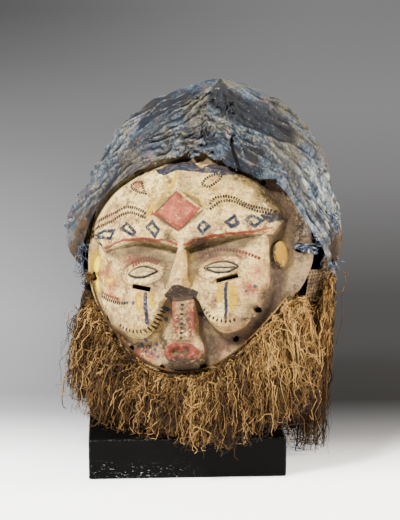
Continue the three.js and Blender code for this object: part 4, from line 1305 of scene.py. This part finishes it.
def gathered(paths, away, bottom, flare, spread, stray):
    """Draws in what stands out further than the mass of strands does there."""
    out = np.einsum("nkc,nc->nk", paths - paths[:, :1], away)
    drop = np.maximum(20, paths[:, 0, 2] - bottom)[:, None]
    t = np.clip((paths[:, :1, 2] - paths[..., 2]) / drop, 0, 1)
    flare, spread, stray = [np.asarray(v, float).reshape(-1, 1) for v in (flare, spread, stray)]
    reach = 5 + np.maximum(flare, 0) * np.sin(t * math.pi / 2) + 3 * np.sin(t * math.pi) + spread * t + stray
    held = reach * np.tanh(out / reach)
    paths = paths - away[:, None, :] * np.where(out > 0, out - held, 0)[..., None]
    level = np.stack([-away[:, 1], away[:, 0], 0 * away[:, 0]], axis=-1)
    aside = np.einsum("nkc,nc->nk", paths - paths[:, :1], level)
    room = 15 + stray * 0.6
    paths = paths - level[:, None, :] * (aside - room * np.tanh(aside / room))[..., None]
    under = bottom[:, None] - 2 - paths[..., 2] - stray
    paths[..., 2] += np.where(under > 0, under - 7 * np.tanh(under / 14), 0)
    paths = paths + away[:, None, :] * (np.minimum(flare, 0) * np.sin(t * math.pi / 2))[..., None]
    rise = paths[..., 2] - paths[:, :1, 2]
    paths[..., 2] -= np.where(rise > 0, rise - 3 * np.tanh(rise / 3), 0)
    return paths


def strands(name, rng, paths, width, tone, material, slot, *nodes):
    """Three-sided strands along the paths, one closed skin each."""
    n, count, _ = paths.shape
    along = unit(np.gradient(paths, axis=1))
    side = unit(np.cross(along, rng.normal(size=(n, 1, 3)) + np.array([0, 0, 0.01])))
    up = np.cross(along, side)
    t = np.linspace(0, 1, count)
    taper = (1 - 0.55 * t ** 3)[None, :]
    w = width[:, None] * taper / 2
    h = np.minimum(w, 0.5)
    rings = np.stack([paths + side * (w * math.cos(a))[..., None] + up * (h * math.sin(a))[..., None]
                      for a in np.radians((90, 210, 330))], axis=2)
    index = np.arange(n * count * 3).reshape(n, count, 3)
    ahead = np.roll(index, -1, axis=2)
    quads = np.stack([index[:, :-1], ahead[:, :-1], ahead[:, 1:], index[:, 1:]], axis=-1).reshape(-1, 4)
    caps = np.concatenate([index[:, 0, ::-1], index[:, -1]]).reshape(-1, 3)
    mesh = bpy.data.meshes.new(name)
    mesh.from_pydata((rings.reshape(-1, 3) * MM).tolist(), [], quads.tolist() + caps.tolist())
    piece = bpy.data.objects.new(name, mesh)
    bpy.context.collection.objects.link(piece)
    spread = np.repeat(tone[:, None], count * 3, axis=1).ravel()
    run = np.broadcast_to(t[None, :, None], (n, count, 3)).ravel()
    dice = np.repeat(rng.random(n)[:, None], count * 3, axis=1).ravel()
    store(piece, "strand", spread, run, dice)
    return finish_piece(piece, material, slot, *nodes)


def hang_line(t, start, away, bottom, flare, extra):
    out = flare * np.sin(t * math.pi / 2) + extra * t
    z = mix(start[..., 2], bottom, t)
    return np.stack([start[..., 0] + away[..., 0] * out, start[..., 1] + away[..., 1] * out, z], axis=-1)


def core_grid(name, columns, start, end):
    """A slab for a core; of its points the angle, the share of the way down, and which are inside."""
    piece = slab(name, columns, 40)
    p = points_of(piece)
    return piece, mix(start + 1, end - 1, (p[:, 0] + 1) / 2), (1 - p[:, 1]) / 2, p[:, 2] > 0.5


def finish_core(piece, points, t, tone, material, node):
    move_points(piece, keep_clear(points) * MM)
    face_outwards(piece)
    smooth(piece, 60)
    store(piece, "strand", tone, t, 0.5)
    finish_piece(piece, material, "raffia", node)


def beard_bottom(angle):
    t = (angle - BEARD_FROM) / (BEARD_TO - BEARD_FROM)
    return mix(BEARD_LOWEST, BEARD_SIDE_ENDS, np.abs(2 * t - 1) ** 3)


def beard_core(material):
    """The packed fibres behind the loose strands, near black as painted shade deep in the beard."""
    piece, angle, t, inner = core_grid("beard_core", 150, BEARD_FROM, BEARD_TO)
    start, away = rim(angle, -1.6, np.where(inner, -9, -1))
    s = angle * 2.2
    relief = 2.5 * rumple(s, 0 * t, t * 30, 6, 51) + 3.5 * rumple(s, 0 * t, t * 60, 18, 52)
    extra = np.where(inner, 0, 4) + np.where(inner, 0, 1) * relief * np.sin(t * math.pi)
    spot = hang_line(t, start, away, beard_bottom(angle) + 8, 14, extra)
    spot = spot + away * np.where(inner, 0, 1)[:, None] * (relief * ramp(0, 0.2, t))[:, None] * 0.6
    spot[:, 2] += ramp(0.8, 1, t) * 5 * rumple(s, 0 * t, 0 * t, 9, 53)
    finish_core(piece, spot, t, 0.12, material, "raffia_beard")


def beard(material):
    rng = np.random.default_rng(11)
    beard_core(material)
    for k, (n, depth, tone_at, steps) in enumerate(BEARD_LAYERS):
        angle = rng.uniform(BEARD_FROM + 1, BEARD_TO - 5, n)
        angle = angle + 1.5 * np.sin(angle * 0.9)
        share = rng.uniform(*depth, n)
        start, away = rim(angle, rng.uniform(-3, 0.5, n), mix(-11, -2.5, share))
        bottom = beard_bottom(angle) + rng.normal(0, 6, n)
        drop = start[:, 2] - bottom
        cuts = rng.random(n)
        length = drop * np.where(cuts < 0.35, rng.uniform(0.45, 0.9, n), rng.uniform(0.9, 1.12, n)) + 9
        heading = away * mix(0.6, 1.1, share)[:, None] + rng.normal(0, 0.6, (n, 3)) + np.array([0, 0, -0.4])
        curl = rng.uniform(0.6, 1.5, n)
        fall = rng.uniform(0.14, 0.4, n)
        curl = np.where(rng.random(n) < 0.2, rng.uniform(1.5, 2.4, n), curl)
        stray = np.where(rng.random(n) < 0.04, rng.uniform(6, 20, n), 0)
        length = length * mix(1.1, 1.9, curl / 1.5)
        paths = strand_paths(rng, start, heading, length, fall, curl, steps)
        paths = gathered(paths, away, bottom, BEARD_FLARE, 14 * share, stray)
        reach = rng.uniform(1.2, 4.8, n) * mix(0.7, 1, share)
        paths = crinkle(rng, paths, reach, rng.uniform(13, 30, n), length)
        clear = np.where(rng.random(n) < 0.12, -6, rng.uniform(-2, 2, n))
        paths = boxed(off_the_plate(paths, clear[:, None]))
        width = np.where(rng.random(n) < 0.09, rng.uniform(1.6, 2.8, n), rng.uniform(0.6, 1.25, n))
        # a random tone, lower in the inner layers as painted shade inside the beard
        tone = np.clip(rng.normal(tone_at, 0.2, n) + 0.25 * rumple(*start.T, 16, 71), 0, 1)
        strands(f"beard_strands_{k + 1}", rng, paths, width, tone, material, "raffia")


def fringe_bottom(angle):
    t = np.clip((angle - FRINGE_FROM) / (FRINGE_TO - FRINGE_FROM), 0, 1)
    right, behind, left = FRINGE_ENDS
    return mix(mix(right, behind, np.clip(2 * t, 0, 1)), left, np.clip(2 * t - 1, 0, 1))


def fringe_flare(angle):
    """The fringe draws in at the viewer's right and stands out elsewhere."""
    t = (angle - FRINGE_FROM) / (FRINGE_TO - FRINGE_FROM)
    return mix(*FRINGE_FLARE, ramp(0.1, 0.5, t))


def fringe_start(angle, share):
    """Where the strands of the back leave the hood's lower edge."""
    radius = dome_radius(angle, NECK_TO) - 8.5 + 9 * share - 8 * ramp(150, 110, angle) * (share < 1.3)
    return around_head(angle, radius, np.full(angle.shape, NECK_TO - 0.4))


def fringe_away(angle):
    a = np.radians(angle)
    flat = np.stack([np.sin(a), -np.cos(a), 0 * a], axis=-1)
    return flat @ np.array(HEAD_PLACE)[:3, :3].T


def fringe_core(material):
    piece, angle, t, inner = core_grid("fringe_core", 190, FRINGE_FROM, FRINGE_TO)
    start = fringe_start(angle, np.where(inner, 0.1, 0.8))
    away = fringe_away(angle)
    s = angle * 2.4
    relief = 2 * rumple(s, 0 * t, t * 40, 6, 61) + 3 * rumple(s, 0 * t, t * 60, 18, 62)
    extra = np.where(inner, 0, 4 + relief)
    spot = hang_line(t, start, away, fringe_bottom(angle) + 22, fringe_flare(angle) - 2, extra)
    spot[:, 2] += ramp(0.8, 1, t) * 5 * rumple(s, 0 * t, 0 * t, 9, 63)
    # near black, as painted shade deep in the fringe
    finish_core(piece, spot, t, 0.1, material, "neck_fringe")


def fringe(material):
    rng = np.random.default_rng(23)
    fringe_core(material)
    for k, (n, depth, tone_at, steps) in enumerate(FRINGE_LAYERS):
        angle = rng.uniform(FRINGE_FROM + 6, FRINGE_TO + 2, n)
        share = rng.uniform(*depth, n)
        # at the viewer's right some hang from higher up, outside the hood
        high = (rng.random(n) < 0.3) & (angle < 104)
        start = fringe_start(angle, np.where(high, 1.4, share))
        start[:, 2] += np.where(high, rng.uniform(8, 36, n), rng.uniform(0, 6, n))
        away = fringe_away(angle)
        bottom = fringe_bottom(angle) + rng.normal(0, 7, n)
        drop = start[:, 2] - bottom
        length = drop * np.where(rng.random(n) < 0.3, rng.uniform(0.5, 0.9, n), rng.uniform(0.9, 1.1, n)) + 6
        heading = away * mix(0.1, 0.9, share)[:, None] + rng.normal(0, 0.25, (n, 3)) + np.array([0, 0, -0.9])
        stray = np.where(rng.random(n) < 0.03, 12, 0)
        curl = np.where(rng.random(n) < 0.2, rng.uniform(1.4, 2.3, n), rng.uniform(0.5, 1.3, n))
        length = length * mix(1.1, 1.8, curl / 1.5)
        paths = strand_paths(rng, start, heading, length, rng.uniform(0.16, 0.42, n), curl, steps)
        paths = gathered(paths, away, bottom, fringe_flare(angle), 10 * share, stray)
        reach = rng.uniform(1, 4, n) * mix(0.7, 1, share)
        paths = boxed(crinkle(rng, paths, reach, rng.uniform(14, 34, n), length))
        width = np.where(rng.random(n) < 0.1, rng.uniform(1.8, 3, n), rng.uniform(0.6, 1.2, n))
        # a random tone, lower in the inner layers as painted shade inside the fringe
        tone = np.clip(rng.normal(tone_at, 0.18, n), 0, 1)
        strands(f"fringe_strands_{k + 1}", rng, paths, width, tone, material, "raffia")


def dry_raffia():
    f = Finish("dry_raffia", roughness=0.7, specular=0.12)
    tone, _, dice = f.attribute("strand")
    patch = f.noise(26, 3, 0.6, seed=1.1)
    fibre = f.noise(2.2, 3, 0.6, seed=2.1)
    x, y, z = f.split(f.place)
    # painted light on the raffia's upper right, and painted shade at the back and on the left
    painted_light_right = (x - y * 0.5).between(0.07, 0.14) * z.between(0.07, 0.15) * 0.24
    painted_shade_back_left = y.between(0.0, 0.08) * 0.2 + x.between(0.05, -0.1) * 0.04
    f.skin = f.ramp(tone * 0.75 + dice * 0.24 + fibre * 0.12 + painted_light_right - painted_shade_back_left, (0.14, (0.004, 0.002, 0.001)),
                    (0.4, (0.026, 0.012, 0.004)), (0.62, (0.085, 0.043, 0.012)), (0.92, (0.36, 0.21, 0.065)))
    f.coat((0.02, 0.011, 0.005), patch.between(0.45, 0.66) * 0.55)
    return f.done(0.5 + fibre * 0.3, fibre, 0.3)


# The hood under the cloth
def hood(material):
    piece = slab("plaited_hood", 300, 70)
    p = points_of(piece)
    angle = p[:, 0] * 180
    down = (p[:, 1] + 1) / 2
    inner = p[:, 2] > 0.5
    top = DOME_Z + DOME_HEIGHT - 3.5
    z = mix(top, NECK_TO, down ** 1.7)
    under = np.where(inner, HOOD_INSIDE, HOOD_OUTSIDE)
    radius = np.maximum(0, dome_radius(angle, z) - settled(angle, z) - under)
    s = angle * HOOD_ARC
    knots = 0.7 * np.cos(s * math.pi / PLAIT) * np.cos(z * math.pi / PLAIT)
    radius = np.where(down < 1e-4, 0, radius + np.where(inner, 0, knots * ramp(430, 400, z)))
    spot = around_head(angle, radius, z - np.where(inner, 3.5, 0) * ramp(0.3, 0, down))
    move_points(piece, spot)
    face_outwards(piece, 0.05)
    cutter = hood_cutters()
    apply(piece, "BOOLEAN", operation="DIFFERENCE", object=cutter, solver="EXACT")
    bpy.data.objects.remove(cutter)
    p = points_of(piece)
    local = placed(p, HEAD_PLACE.inverted())
    angle = np.degrees(np.arctan2(local[:, 0] - DOME_X, DOME_Y - local[:, 1]))
    store(piece, "plait", angle * HOOD_ARC * MM, p[:, 2] * MM)
    move_points(piece, p * MM)
    smooth(piece, 40)
    return finish_piece(piece, material, "plaited_fibre", "hood")


def hood_cutters():
    """The opening for the face, the space that the plate takes, and the notches at its side holes."""
    plate = slab("plate_space", 40, 44)
    p = points_of(plate)
    x, z = on_oval(p[:, 0], p[:, 1])
    back = p[:, 2] > 0.5
    height = np.where(back, hollowed(x, z) - 2.2, carved(x, z) + 60)
    grown = 1 + 2.2 / HALF_WIDTH
    move_points(plate, placed(np.stack([x * grown, -height, z * grown], axis=1), MASK_PLACE))
    face_outwards(plate)
    made = [plate]
    shapes = [((0, -BOW / 2, 0), (HALF_WIDTH - 7, HALF_HEIGHT - 7), 2.6 * BOW, 72)]
    for hx, hz in TIE_HOLES:
        shapes.append(((hx * 1.06, -float(shield(hx, hz)), hz), (22, 22), 80, 24))
    for (cx, cy, cz), (rx, rz), depth, sides in shapes:
        bpy.ops.mesh.primitive_cylinder_add(vertices=sides, radius=1, depth=depth,
                                            rotation=(math.pi / 2, 0, 0))
        cylinder = bpy.context.object
        cylinder.matrix_world = (MASK_PLACE @ Matrix.Translation((cx, cy, cz))
                                 @ Matrix.Diagonal((rx, 1, rz, 1)) @ cylinder.matrix_world)
        made.append(cylinder)
    joined = None
    for cutter in made:
        select_only(cutter)
        bpy.ops.object.transform_apply(location=True, rotation=True, scale=True)
        if joined is None:
            joined = cutter
        else:
            apply(joined, "BOOLEAN", operation="UNION", object=cutter, solver="EXACT")
            bpy.data.objects.remove(cutter)
    return joined


def plaited_fibre():
    f = Finish("dark_plaited_fibre", roughness=0.85, specular=0.2)
    s, z, _ = f.attribute("plait")
    one = ((s + z) * (math.pi / 0.0045)).math("SINE")
    two = ((s - z) * (math.pi / 0.0045)).math("SINE")
    cord = one * two * 0.5 + 0.5
    grime = f.noise(12, 4, 0.65, seed=4.1)
    fibre = f.noise(1.8, 3, 0.6, seed=5.1)
    f.skin = f.ramp(grime * 0.6 + fibre * 0.4, (0.35, (0.02, 0.013, 0.008)), (0.5, (0.075, 0.045, 0.022)),
                    (0.68, (0.26, 0.165, 0.075)))
    f.skin = f.blend((0.01, 0.007, 0.005), f.skin, cord.between(0.05, 0.5))
    return f.done(0.75 + fibre * 0.2, cord * 0.7 + fibre * 0.3, 1.4)


# The stage
def look(azimuth, elevation):
    """Axes of something that looks at the object from that side: right, up and towards the viewer."""
    a, e = math.radians(azimuth), math.radians(elevation)
    back = Vector((math.sin(a) * math.cos(e), -math.cos(a) * math.cos(e), math.sin(e)))
    right = Vector((0, 0, 1)).cross(back).normalized()
    return right, back.cross(right), back


def place_like(thing, azimuth, elevation, at):
    right, up, back = look(azimuth, elevation)
    thing.matrix_world = Matrix.Translation(at) @ Matrix((right, up, back)).transposed().to_4x4()


PHOTO_HEIGHT = 520
FOCAL_PIXELS = 1600
CAMERA_AT = Vector((-0.08288, -1.80951, 0.55313))
CAMERA_AZIMUTH = -3.2
CAMERA_ELEVATION = 10
# The backdrop's length, how much of it lies before the object, and its bend up, in metres
BACKDROP_LENGTH = 7.0
BACKDROP_BEFORE = 3.0
BACKDROP_HALF_WIDTH = 5
BEND_AT = 2.2
BEND_RADIUS = 0.7


def backdrop():
    """A pale floor that sweeps up into a wall, with painted light and shade: lighter in front and darker
    away to the right, and glowing in the same tones.
    """
    piece = grid_sheet("backdrop", 4, 40)
    p = points_of(piece)
    run = (p[:, 1] + 1) / 2 * BACKDROP_LENGTH - BACKDROP_BEFORE
    turn = np.clip((run - BEND_AT) / BEND_RADIUS, 0, math.pi / 2)
    above = np.maximum(0, run - BEND_AT - BEND_RADIUS * math.pi / 2)
    y = np.minimum(run, BEND_AT) + BEND_RADIUS * np.sin(turn)
    z = BEND_RADIUS * (1 - np.cos(turn)) + above
    move_points(piece, np.stack([p[:, 0] * BACKDROP_HALF_WIDTH, y, z], axis=1))
    smooth(piece, 60)
    f = Finish("paper_with_painted_light", roughness=0.95, specular=0.05)
    x, y, z = f.split(f.place)
    # slopes of the camera's view down and to the side, so that the shades keep their place in the picture
    away = (y - CAMERA_AT.y).most(0.2)
    drop = (CAMERA_AT.z - z) / away
    aside = ((x - CAMERA_AT.x) / away).between(-0.12, 0.14)
    # painted light and shade: the falloff of the light over floor and wall, and shade towards the right
    left = f.ramp(drop, (0.02, (0.075, 0.075, 0.077)), (0.05, (0.125, 0.125, 0.128)),
                  (0.1, (0.24, 0.24, 0.245)), (0.163, (0.45, 0.45, 0.46)), (0.21, (0.6, 0.6, 0.62)),
                  (0.262, (0.52, 0.52, 0.53)), (0.282, (0.9, 0.9, 0.9)), (0.31, (1, 1, 1)))
    right = f.ramp(drop, (0.02, (0.17, 0.17, 0.172)), (0.08, (0.215, 0.21, 0.21)),
                   (0.125, (0.185, 0.18, 0.18)), (0.163, (0.12, 0.118, 0.117)), (0.2, (0.062, 0.06, 0.059)),
                   (0.27, (0.03, 0.029, 0.028)), (0.295, (0.2, 0.2, 0.2)), (0.325, (1, 1, 1)))
    tone = f.blend(left, right, aside)
    near = drop.between(0.27, 0.31)
    f.link(f.blend((0.01, 0.01, 0.01), tone, near), "Base Color")
    # the backdrop glows with its painted light
    f.link(tone, "Emission Color")
    f.shader.inputs["Emission Strength"].default_value = 1.25
    piece.data.materials.append(f.material)


def stage():
    data = bpy.data.cameras.new("camera")
    camera = bpy.data.objects.new("camera", data)
    bpy.context.collection.objects.link(camera)
    data.sensor_width = 36
    data.lens = FOCAL_PIXELS * data.sensor_width / PHOTO_HEIGHT
    data.clip_end = 50
    place_like(camera, CAMERA_AZIMUTH, CAMERA_ELEVATION, CAMERA_AT)
    bpy.context.scene.camera = camera
    backdrop()

    world = bpy.data.worlds.new("studio")
    bpy.context.scene.world = world
    world.use_nodes = True
    world.node_tree.nodes["Background"].inputs["Color"].default_value = (0.6, 0.62, 0.65, 1)
    world.node_tree.nodes["Background"].inputs["Strength"].default_value = 0.12

    middle = Vector((0.01, 0.0, 0.24))
    for name, azimuth, elevation, distance, size, power, tint in (
        ("key_light", -42, 48, 1.5, 0.24, 108, (1, 0.98, 0.945)),
        ("side_light", 82, 16, 1.3, 0.3, 50, (1, 0.88, 0.72)),
        ("fill_light", -10, 12, 2.4, 1.6, 3, (1, 0.98, 0.945)),
    ):
        light = bpy.data.lights.new(name, "AREA")
        light.energy = power
        light.size = size
        light.color = tint
        lamp = bpy.data.objects.new(name, light)
        bpy.context.collection.objects.link(lamp)
        _, _, back = look(azimuth, elevation)
        place_like(lamp, azimuth, elevation, middle + back * distance)


# The bindings
def tubes(name, paths, width, thick, roll, sides=8, ring=False):
    """Flattened cords or strips along the paths, each a closed skin; sizes can change along a path."""
    vertices, faces = [], []
    for path, w, h, turn in zip(paths, width, thick, roll):
        path = np.asarray(path, float)
        n = len(path)
        steps = np.roll(path, -1, axis=0) - np.roll(path, 1, axis=0) if ring else np.gradient(path, axis=0)
        along = unit(steps)
        side = unit(np.cross(along, np.array([0.13, 0.21, 0.97])))[:, None]
        up = np.cross(along, side[:, 0])[:, None]
        turn, w, h = [np.broadcast_to(np.asarray(v, float), (n,))[:, None] for v in (turn, w, h)]
        a = 2 * math.pi * np.arange(sides) / sides
        flat = np.cos(a) * w / 2
        tall = np.sin(a) * h / 2
        offset = (side * (flat * np.cos(turn) - tall * np.sin(turn))[..., None]
                  + up * (flat * np.sin(turn) + tall * np.cos(turn))[..., None])
        first = len(vertices)
        vertices.extend((path[:, None] + offset).reshape(-1, 3).tolist())
        for i in range(n if ring else n - 1):
            here, there = first + i * sides, first + (i + 1) % n * sides
            for k in range(sides):
                m = (k + 1) % sides
                faces.append([here + k, here + m, there + m, there + k])
        if not ring:
            faces.append([first + k for k in reversed(range(sides))])
            faces.append([first + (n - 1) * sides + k for k in range(sides)])
    mesh = bpy.data.meshes.new(name)
    mesh.from_pydata((np.array(vertices) * MM).tolist(), [], faces)
    piece = bpy.data.objects.new(name, mesh)
    bpy.context.collection.objects.link(piece)
    face_outwards(piece)
    smooth(piece, 60)
    return piece


def curve_through(points, count, ring=False):
    """A smooth run of points through the given ones."""
    p = np.asarray(points, float)
    n = len(p)
    spans = n if ring else n - 1
    result = []
    for s in np.linspace(0, spans, count, endpoint=not ring):
        i = min(int(s), spans - 1)
        t = s - i
        q = [p[(i + k) % n] if ring else p[min(max(i + k, 0), n - 1)] for k in (-1, 0, 1, 2)]
        result.append(0.5 * (2 * q[1] + (q[2] - q[0]) * t + (2 * q[0] - 5 * q[1] + 4 * q[2] - q[3]) * t * t
                             + (3 * q[1] - q[0] - 3 * q[2] + q[3]) * t ** 3))
    return np.array(result)


def round_the_edge(x, z, out):
    """The way of a binding through a side hole and round the plate's edge, in the mask's frame."""
    side = math.copysign(1, x)
    edge = float(outline_half_width(x, z)) * math.sqrt(1 - (z / HALF_HEIGHT) ** 2) + out
    middle = (abs(x) + edge) / 2

    def front(at):
        return -float(shield(at, z)) - out

    def back(at):
        return -float(shield(at, z)) + PLATE + out

    return [(side * px, py, z) for px, py in (
        (abs(x) + 1, front(x) + 0.5), (middle, front(middle) - 0.5), (edge - 1, front(edge) + 0.5),
        (edge + 1.5, (front(edge) + back(edge)) / 2), (edge - 1, back(edge) - 0.5),
        (middle, back(middle) + 0.5), (abs(x) + 1, back(x)), (abs(x), (front(x) + back(x)) / 2))]


def cloth_tie(material):
    """Dark strips pulled through the hole at the viewer's right and round the edge."""
    rng = np.random.default_rng(5)
    hx, hz = TIE_HOLES[0]
    paths, width, thick, roll = [], [], [], []
    for k in range(3):
        loop = np.array(round_the_edge(hx, hz, 1.6 + 0.5 * k))
        loop[:, 2] += (-3.2, 0.2, 3.4)[k] * np.array([0.5, 1, 1.4, 1.4, 1.4, 1, 0.5, 0.3])
        run = curve_through(loop, 40, ring=True)
        paths.append(placed(run, MASK_PLACE))
        width.append(4.6 + 0.8 * np.sin(np.arange(40) * 1.1 + k))
        thick.append(1.5)
        roll.append(0.5 * np.sin(np.arange(40) * 0.9 + 2 * k))
    loops = tubes("right_tie_loops", paths, width, thick, roll, ring=True)
    ends, width, thick, roll = [], [], [], []
    front = -float(shield(hx, hz))
    for _ in range(9):
        a = rng.uniform(0, 2 * math.pi)
        reach = rng.uniform(7, 15)
        middle = np.array([hx + 7, front - 3.2, hz + 0.5])
        way = np.array([math.cos(a) * reach, -rng.uniform(0.5, 4), math.sin(a) * reach * 0.45 - 2])
        bend = rng.normal(0, 1.6, 3)
        line = [middle - 0.25 * way, middle + (0, -2.2, 0), middle + 0.45 * way + bend, middle + way + bend]
        ends.append(placed(curve_through(line, 14), MASK_PLACE))
        width.append(rng.uniform(3.2, 6) * (1 - 0.35 * np.linspace(0, 1, 14) ** 3))
        thick.append(1.1)
        roll.append(rng.uniform(-0.7, 0.7) + np.linspace(0, rng.uniform(-1.2, 1.2), 14))
    knot = tubes("right_tie_ends", ends, width, thick, roll)
    finish_piece(loops, material, "dark_cloth", "right_tie")
    finish_piece(knot, material, "dark_cloth")


def raffia_tie(material):
    """A knot of raffia through the hole at the viewer's left."""
    rng = np.random.default_rng(6)
    hx, hz = TIE_HOLES[1]
    paths, width = [], []
    for _ in range(9):
        loop = np.array(round_the_edge(hx, hz, 1.2 + 1.6 * rng.random()))
        loop[:, 2] += rng.normal(0, 1.6) * np.array([0.6, 1, 1.5, 1.5, 1.5, 1, 0.6, 0.3])
        paths.append(placed(curve_through(loop, 32, ring=True), MASK_PLACE))
        width.append(rng.uniform(1.2, 2.2))
    loops = tubes("left_tie_loops", paths, width, [1.1] * 9, [0.3] * 9, sides=6, ring=True)
    ends, width = [], []
    middle = np.array([hx - 5, -float(shield(hx, hz)) - 4, hz])
    for _ in range(26):
        way = rng.normal(0, 1, 3)
        way = way / np.linalg.norm(way) * rng.uniform(4, 10) + (0, -2, -2)
        line = [middle + rng.normal(0, 1.5, 3), middle + 0.4 * way,
                middle + 0.75 * way + rng.normal(0, 2, 3), middle + 0.6 * way + rng.normal(0, 3, 3)]
        ends.append(placed(curve_through(line, 12), MASK_PLACE))
        width.append(rng.uniform(0.8, 2))
    knot = tubes("left_tie_ends", ends, width, [0.9] * 26, [0] * 26, sides=6)
    for piece in (loops, knot):
        store(piece, "strand", 0.78, 0.5, rng.random(len(piece.data.vertices)) * 0.2)
    finish_piece(loops, material, "raffia", "left_tie")
    finish_piece(knot, material, "raffia")


def edge_twine(material):
    """Two twisted plies along the rim, over the roots of the beard."""
    angle = np.linspace(BEARD_FROM, BEARD_TO, 420)
    middle, away = rim(angle, 6, 2.2)
    turn = np.arange(420) * 0.62
    paths = []
    for ply in (0, math.pi):
        paths.append(middle + away * (0.75 * np.cos(turn + ply))[:, None]
                     + np.array([0, 0, 1.0]) * (0.75 * np.sin(turn + ply))[:, None])
    piece = tubes("rim_cord", paths, [1.35, 1.35], [1.35, 1.35], [0, 0], sides=5)
    store(piece, "strand", 0.45, 0.5, 0.5)
    finish_piece(piece, material, "plaited_fibre", "rim_twine")


def strip_cloth():
    f = Finish("blue_black_strips", roughness=0.85, specular=0.2)
    mottle = f.noise(5, 4, 0.65, seed=3.3)
    fibre = f.noise(1.4, 3, 0.6, seed=1.2)
    f.skin = f.ramp(mottle, (0.36, (0.012, 0.014, 0.02)), (0.52, (0.04, 0.055, 0.085)),
                    (0.64, (0.17, 0.2, 0.24)), (0.72, (0.5, 0.46, 0.36)))
    return f.done(0.75 + fibre * 0.2, mottle * 0.4 + fibre * 0.6, 0.6)


# The stand
def black_paint():
    f = Finish("worn_black_paint", roughness=0.6, specular=0.03)
    x, y, z = f.split(f.place)
    cloud = f.noise(60, 3, 0.5, seed=1.4)
    fine = f.noise(2.5, 3, 0.6, seed=2.4)
    scuffed = z.between(0.024, 0.006) * x.between(0.03, -0.06) * y.between(-0.08, -0.0845)
    scuff = f.noise(1.6, 4, 0.7, at=f.vector(x * 0.35, y, z), seed=0.4).between(0.61, 0.66)
    speck = f.noise(3.2, 1, 0.5, seed=3.4).between(0.8, 0.83)
    ends = x.math("ABSOLUTE").between(0.1085, 0.1108)
    sides = y.math("ABSOLUTE").between(0.0825, 0.0848)
    rims = (z - 0.023).math("ABSOLUTE").between(0.0205, 0.0228)
    edge = (ends * sides + sides * rims + rims * ends).least(1.0)
    f.skin = f.blend((0.001, 0.001, 0.001), (0.0028, 0.0027, 0.0026), cloud)
    f.coat((0.06, 0.058, 0.055), edge * fine.between(0.45, 0.65) * 0.5)
    f.coat((0.45, 0.45, 0.44), scuff.most(speck) * scuffed * 0.6)
    return f.done(0.42 + fine * 0.22, fine * 0.6 + cloud * 0.4, 0.25)


def black_steel():
    f = Finish("blackened_steel", roughness=0.45, specular=0.5, metallic=0.85)
    cloud = f.noise(18, 3, 0.55, seed=1.6)
    fine = f.noise(1.2, 3, 0.6, seed=2.6)
    f.skin = f.blend((0.018, 0.018, 0.019), (0.05, 0.046, 0.042), cloud * 0.6 + fine * 0.4)
    return f.done(0.35 + cloud * 0.25, fine, 0.12)


def refinish(node, material):
    piece = bpy.data.objects[node]
    for slot in piece.material_slots:
        slot.material = material


stage()
carve_mask(painted_wood())
drape = Drape()
cloth = hang_cloth(old_cloth(), drape)
hood(plaited_fibre())
strips = strip_cloth()
loose_threads(strips, drape)
raffia = dry_raffia()
beard(raffia)
fringe(raffia)
edge_twine(raffia)
raffia_tie(raffia)
cloth_tie(strips)
refinish("stand_block", black_paint())
refinish("stand_post", black_steel())
